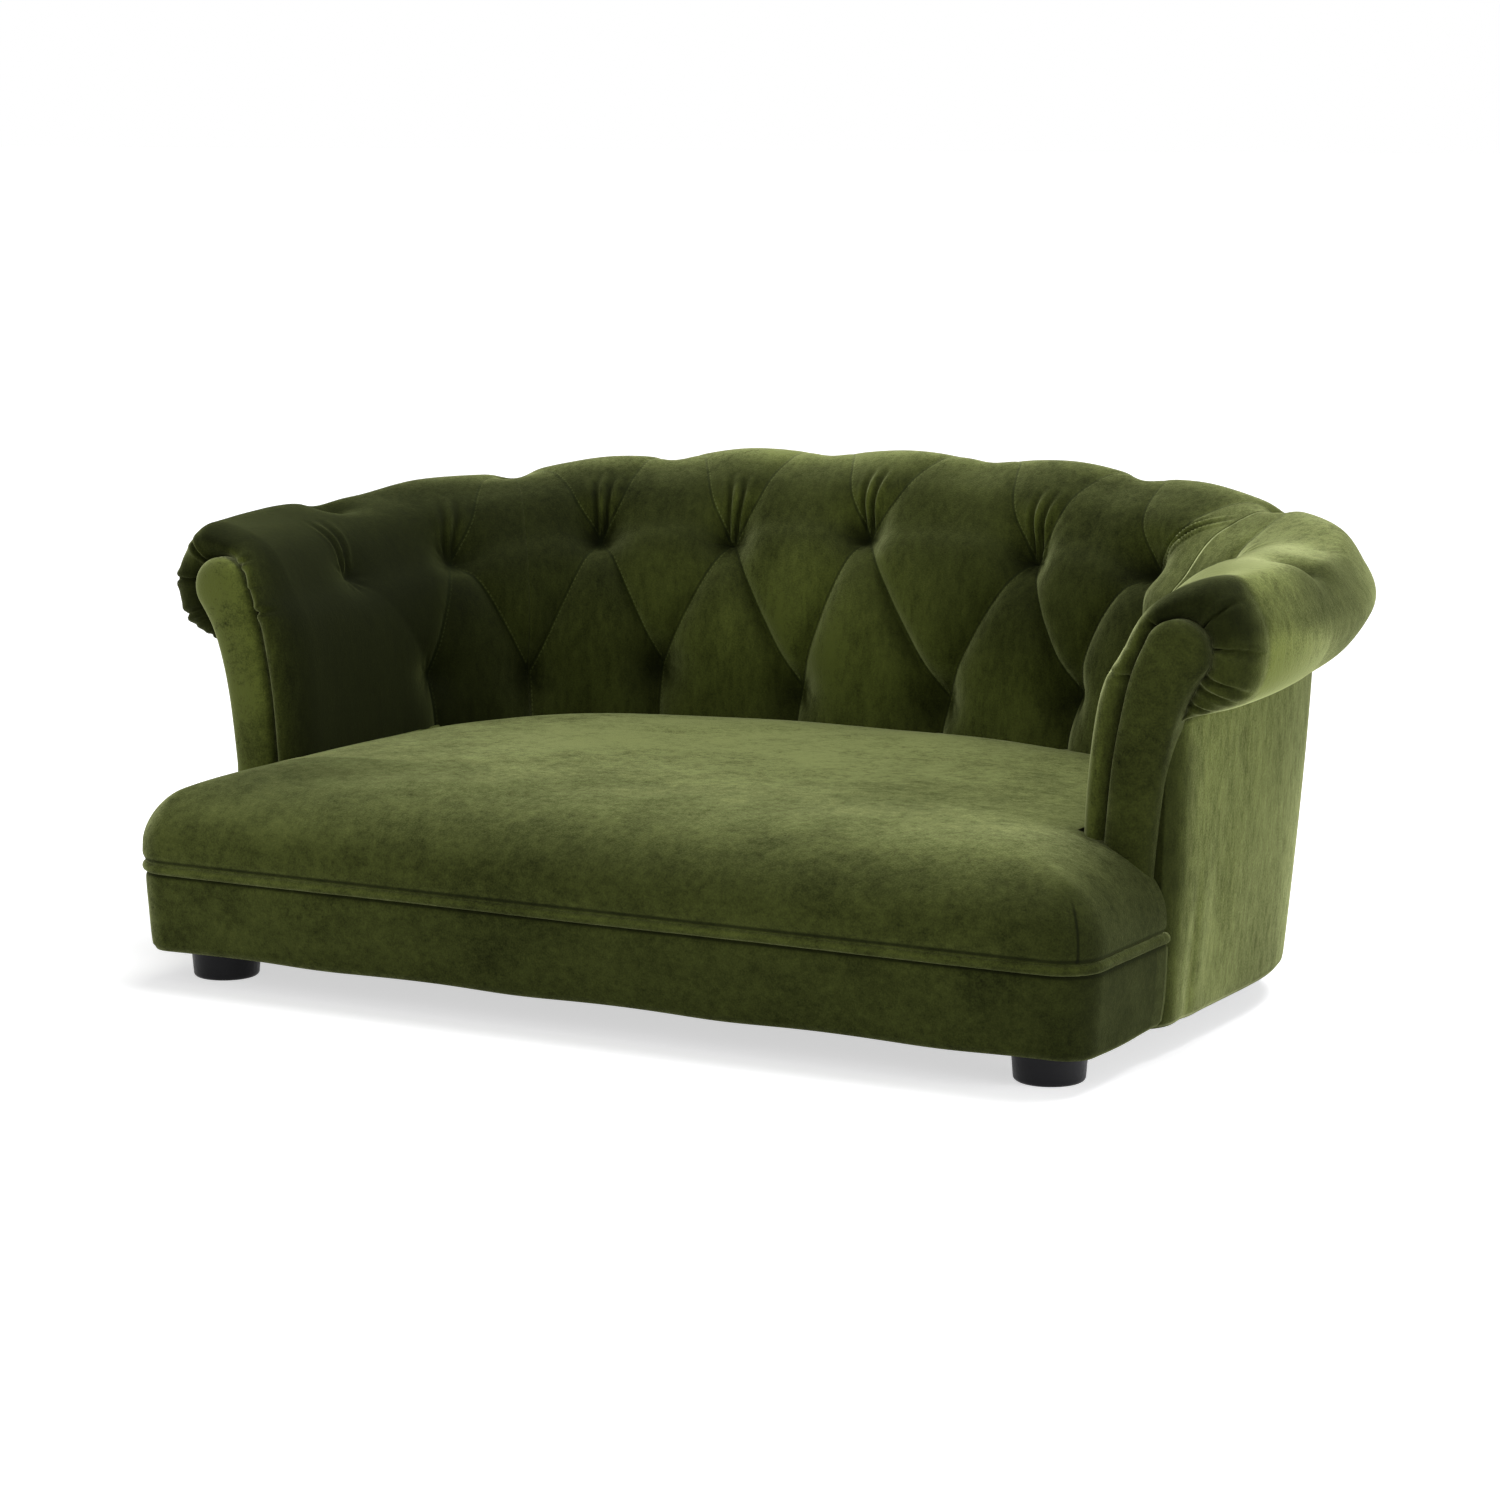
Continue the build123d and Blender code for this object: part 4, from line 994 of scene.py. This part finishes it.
def band():
    """Base band: a wall of cloth that tapers to a softly turned, slightly lumpy hem."""
    line, out = plan_line(0.367, -0.2562, 0.027, FRONT_Y + 0.004, BASE_COUNTS)
    run = np.append(0, np.cumsum(np.linalg.norm(np.diff(line, axis=0), axis=1)))[:, None]
    top, hem = 0.0785, 0.0228
    down = np.linspace(0, 1, 34)
    inset = 0.0042 * down**1.1 - 0.0008 * np.sin(np.pi * down)
    inset += 0.0022 * smooth(0.93, 1, down) + 0.0012 * (1 - smooth(0, 0.08, down))
    lump = 0.0005 * np.sin(run * 61) * np.sin(run * 17 + 1) * smooth(0.6, 1, down)
    wrinkle = 0.0004 * np.sin(run * 24 + down * 4) * np.sin(np.pi * down)
    z = top - (top - hem) * down + 0.0006 * np.sin(run * 40) * smooth(0.85, 1, down)
    inside = np.broadcast_to([[-0.0085, 0.0232], [-0.009, 0.050], [-0.006, top]], (len(line), 3, 2))
    offset = np.concatenate([lump + wrinkle - inset, inside[..., 0]], axis=1)
    z = np.concatenate([z, inside[..., 1]], axis=1)
    points = line[:, None] + out[:, None] * offset[..., None]
    return tube("base_cloth_band", np.concatenate([points, z[..., None]], -1))


finish_piece(welt(), "seat_velvet", SEAT_CLOTH, "seat_welt")
finish_piece(band(), "seat_velvet", SEAT_CLOTH, "base_band")


# Solids that keep their shape
def plain(name, colour, second, scale, rough, metallic=0.0, stretch=None, bump=0.0003, shine=0.5):
    """Finish with two close tones mottled by noise and a fine bump."""
    paint = Paint(name, metallic=metallic, specular_ior_level=shine)
    tone = paint.noise(scale, 4.0, stretch=stretch)
    paint.feed("Base Color", paint.mix(tone, (*colour, 1), (*second, 1)))
    paint.feed("Roughness", paint.spread(tone, 0.2, 0.8, rough - 0.08, rough + 0.08))
    paint.feed("Normal", paint.bump(tone, bump, 0.4))
    return name, paint.material


FINISHES = dict([
    plain("foam", (0.72, 0.66, 0.46), (0.85, 0.80, 0.62), 700.0, 0.95, bump=0.0006),
    plain("webbing", (0.02, 0.02, 0.02), (0.10, 0.10, 0.10), 300.0, 0.8, stretch=(0.2, 1, 1)),
    plain("dust_cloth", (0.008, 0.008, 0.008), (0.022, 0.022, 0.022), 900.0, 0.95),
    plain("foot_plastic", (0.004, 0.004, 0.005), (0.009, 0.009, 0.011), 400.0, 0.42, shine=0.18),
    plain("fixing_steel", (0.45, 0.45, 0.47), (0.65, 0.65, 0.68), 200.0, 0.35, metallic=1.0),
    plain("plywood", (0.55, 0.38, 0.22), (0.70, 0.53, 0.34), 40.0, 0.7, stretch=(0.2, 0.2, 3)),
    plain("frame_wood", (0.50, 0.33, 0.18), (0.66, 0.48, 0.30), 60.0, 0.7, stretch=(0.1, 1, 1)),
])
SLOTS = {entry["node"]: entry["material_slot"] for entry in frame["record"]["subparts"]}
for node, solid in frame["nodes"].items():
    finish = FINISHES.get(SLOTS.get(node))
    if finish is None:
        continue
    if not solid.data.materials:
        solid.data.materials.append(finish)
    for holder in solid.material_slots:
        holder.material = finish


# Floor, lights and camera
def floor():
    """Pale floor that shows as white to the camera but keeps the sofa's shadow."""
    paint = Paint("floor", roughness=1.0, specular_ior_level=0.0, base_color=(0.80, 0.80, 0.81, 1))
    glow = paint.node("ShaderNodeEmission", {}, {"Strength": paint.backdrop() * 0.60})
    paint.show(paint.node("ShaderNodeAddShader", {}, {0: Value(paint, paint.shader.outputs[0]), 1: glow}))
    size = 60.0
    corners = np.array([(-size, -size, 0), (size, -size, 0), (size, size, 0), (-size, size, 0)])
    piece = mesh_piece("floor", corners, np.array([[0, 1, 2, 3]]))
    piece.data.materials.append(paint.material)


def stand(name, data, place, aim):
    """Object for a lamp, set at a place and turned to look at a point."""
    holder = bpy.data.objects.new(name, data)
    holder.location = place
    holder.rotation_euler = (Vector(aim) - Vector(place)).to_track_quat("-Z", "Y").to_euler()
    bpy.context.scene.collection.objects.link(holder)


def softbox(name, place, aim, size, watts):
    """Flat area lamp aimed at a point; size is its width and height."""
    lamp = bpy.data.lights.new(name, "AREA")
    lamp.shape = "RECTANGLE"
    lamp.size, lamp.size_y = size
    lamp.energy = watts
    stand(name, lamp, place, aim)


floor()
scene = bpy.context.scene
scene.world = scene.world or bpy.data.worlds.new("world")
scene.world.use_nodes = True
sky = Nodes(scene.world.node_tree, "ShaderNodeOutputWorld")
ambient = sky.node("ShaderNodeBackground", {}, {"Color": (1, 1, 1, 1), "Strength": 0.26})
shown = sky.node("ShaderNodeBackground", {}, {"Color": (1, 1, 1, 1), "Strength": 1.0})
sky.show(sky.node("ShaderNodeMixShader", {}, {"Fac": sky.backdrop(), 1: ambient, 2: shown}))

sun = bpy.data.lights.new("key", "SUN")
sun.energy = 1.9
sun.angle = math.radians(34)
stand("key", sun, (0, 0, 0), (-0.10, -0.34, -1.0))
softbox("top", (0.5, 0.5, 1.9), (0.1, 0.0, 0.2), (1.4, 1.2), 16)
softbox("side", (2.4, -0.1, 0.60), (0.4, 0.0, 0.16), (1.1, 0.7), 22)
softbox("front", (0.6, -3.2, 1.7), (0, 0, 0.15), (2.4, 2.4), 15)

camera = bpy.data.cameras.new("camera")
camera.lens = 95.57
camera.sensor_width = 36.0
camera.clip_end = 200.0
holder = bpy.data.objects.new("camera", camera)
back = Vector((0.48077, -0.86269, 0.15701)).normalized()
right = Vector((0.8735, 0.4868, 0.0)).normalized()
turned = Matrix((right, back.cross(right), back)).transposed().to_4x4()
holder.matrix_world = Matrix.Translation((1.35095, -2.44462, 0.60146)) @ turned
scene.collection.objects.link(holder)
scene.camera = holder
scene.view_settings.view_transform = "Standard"
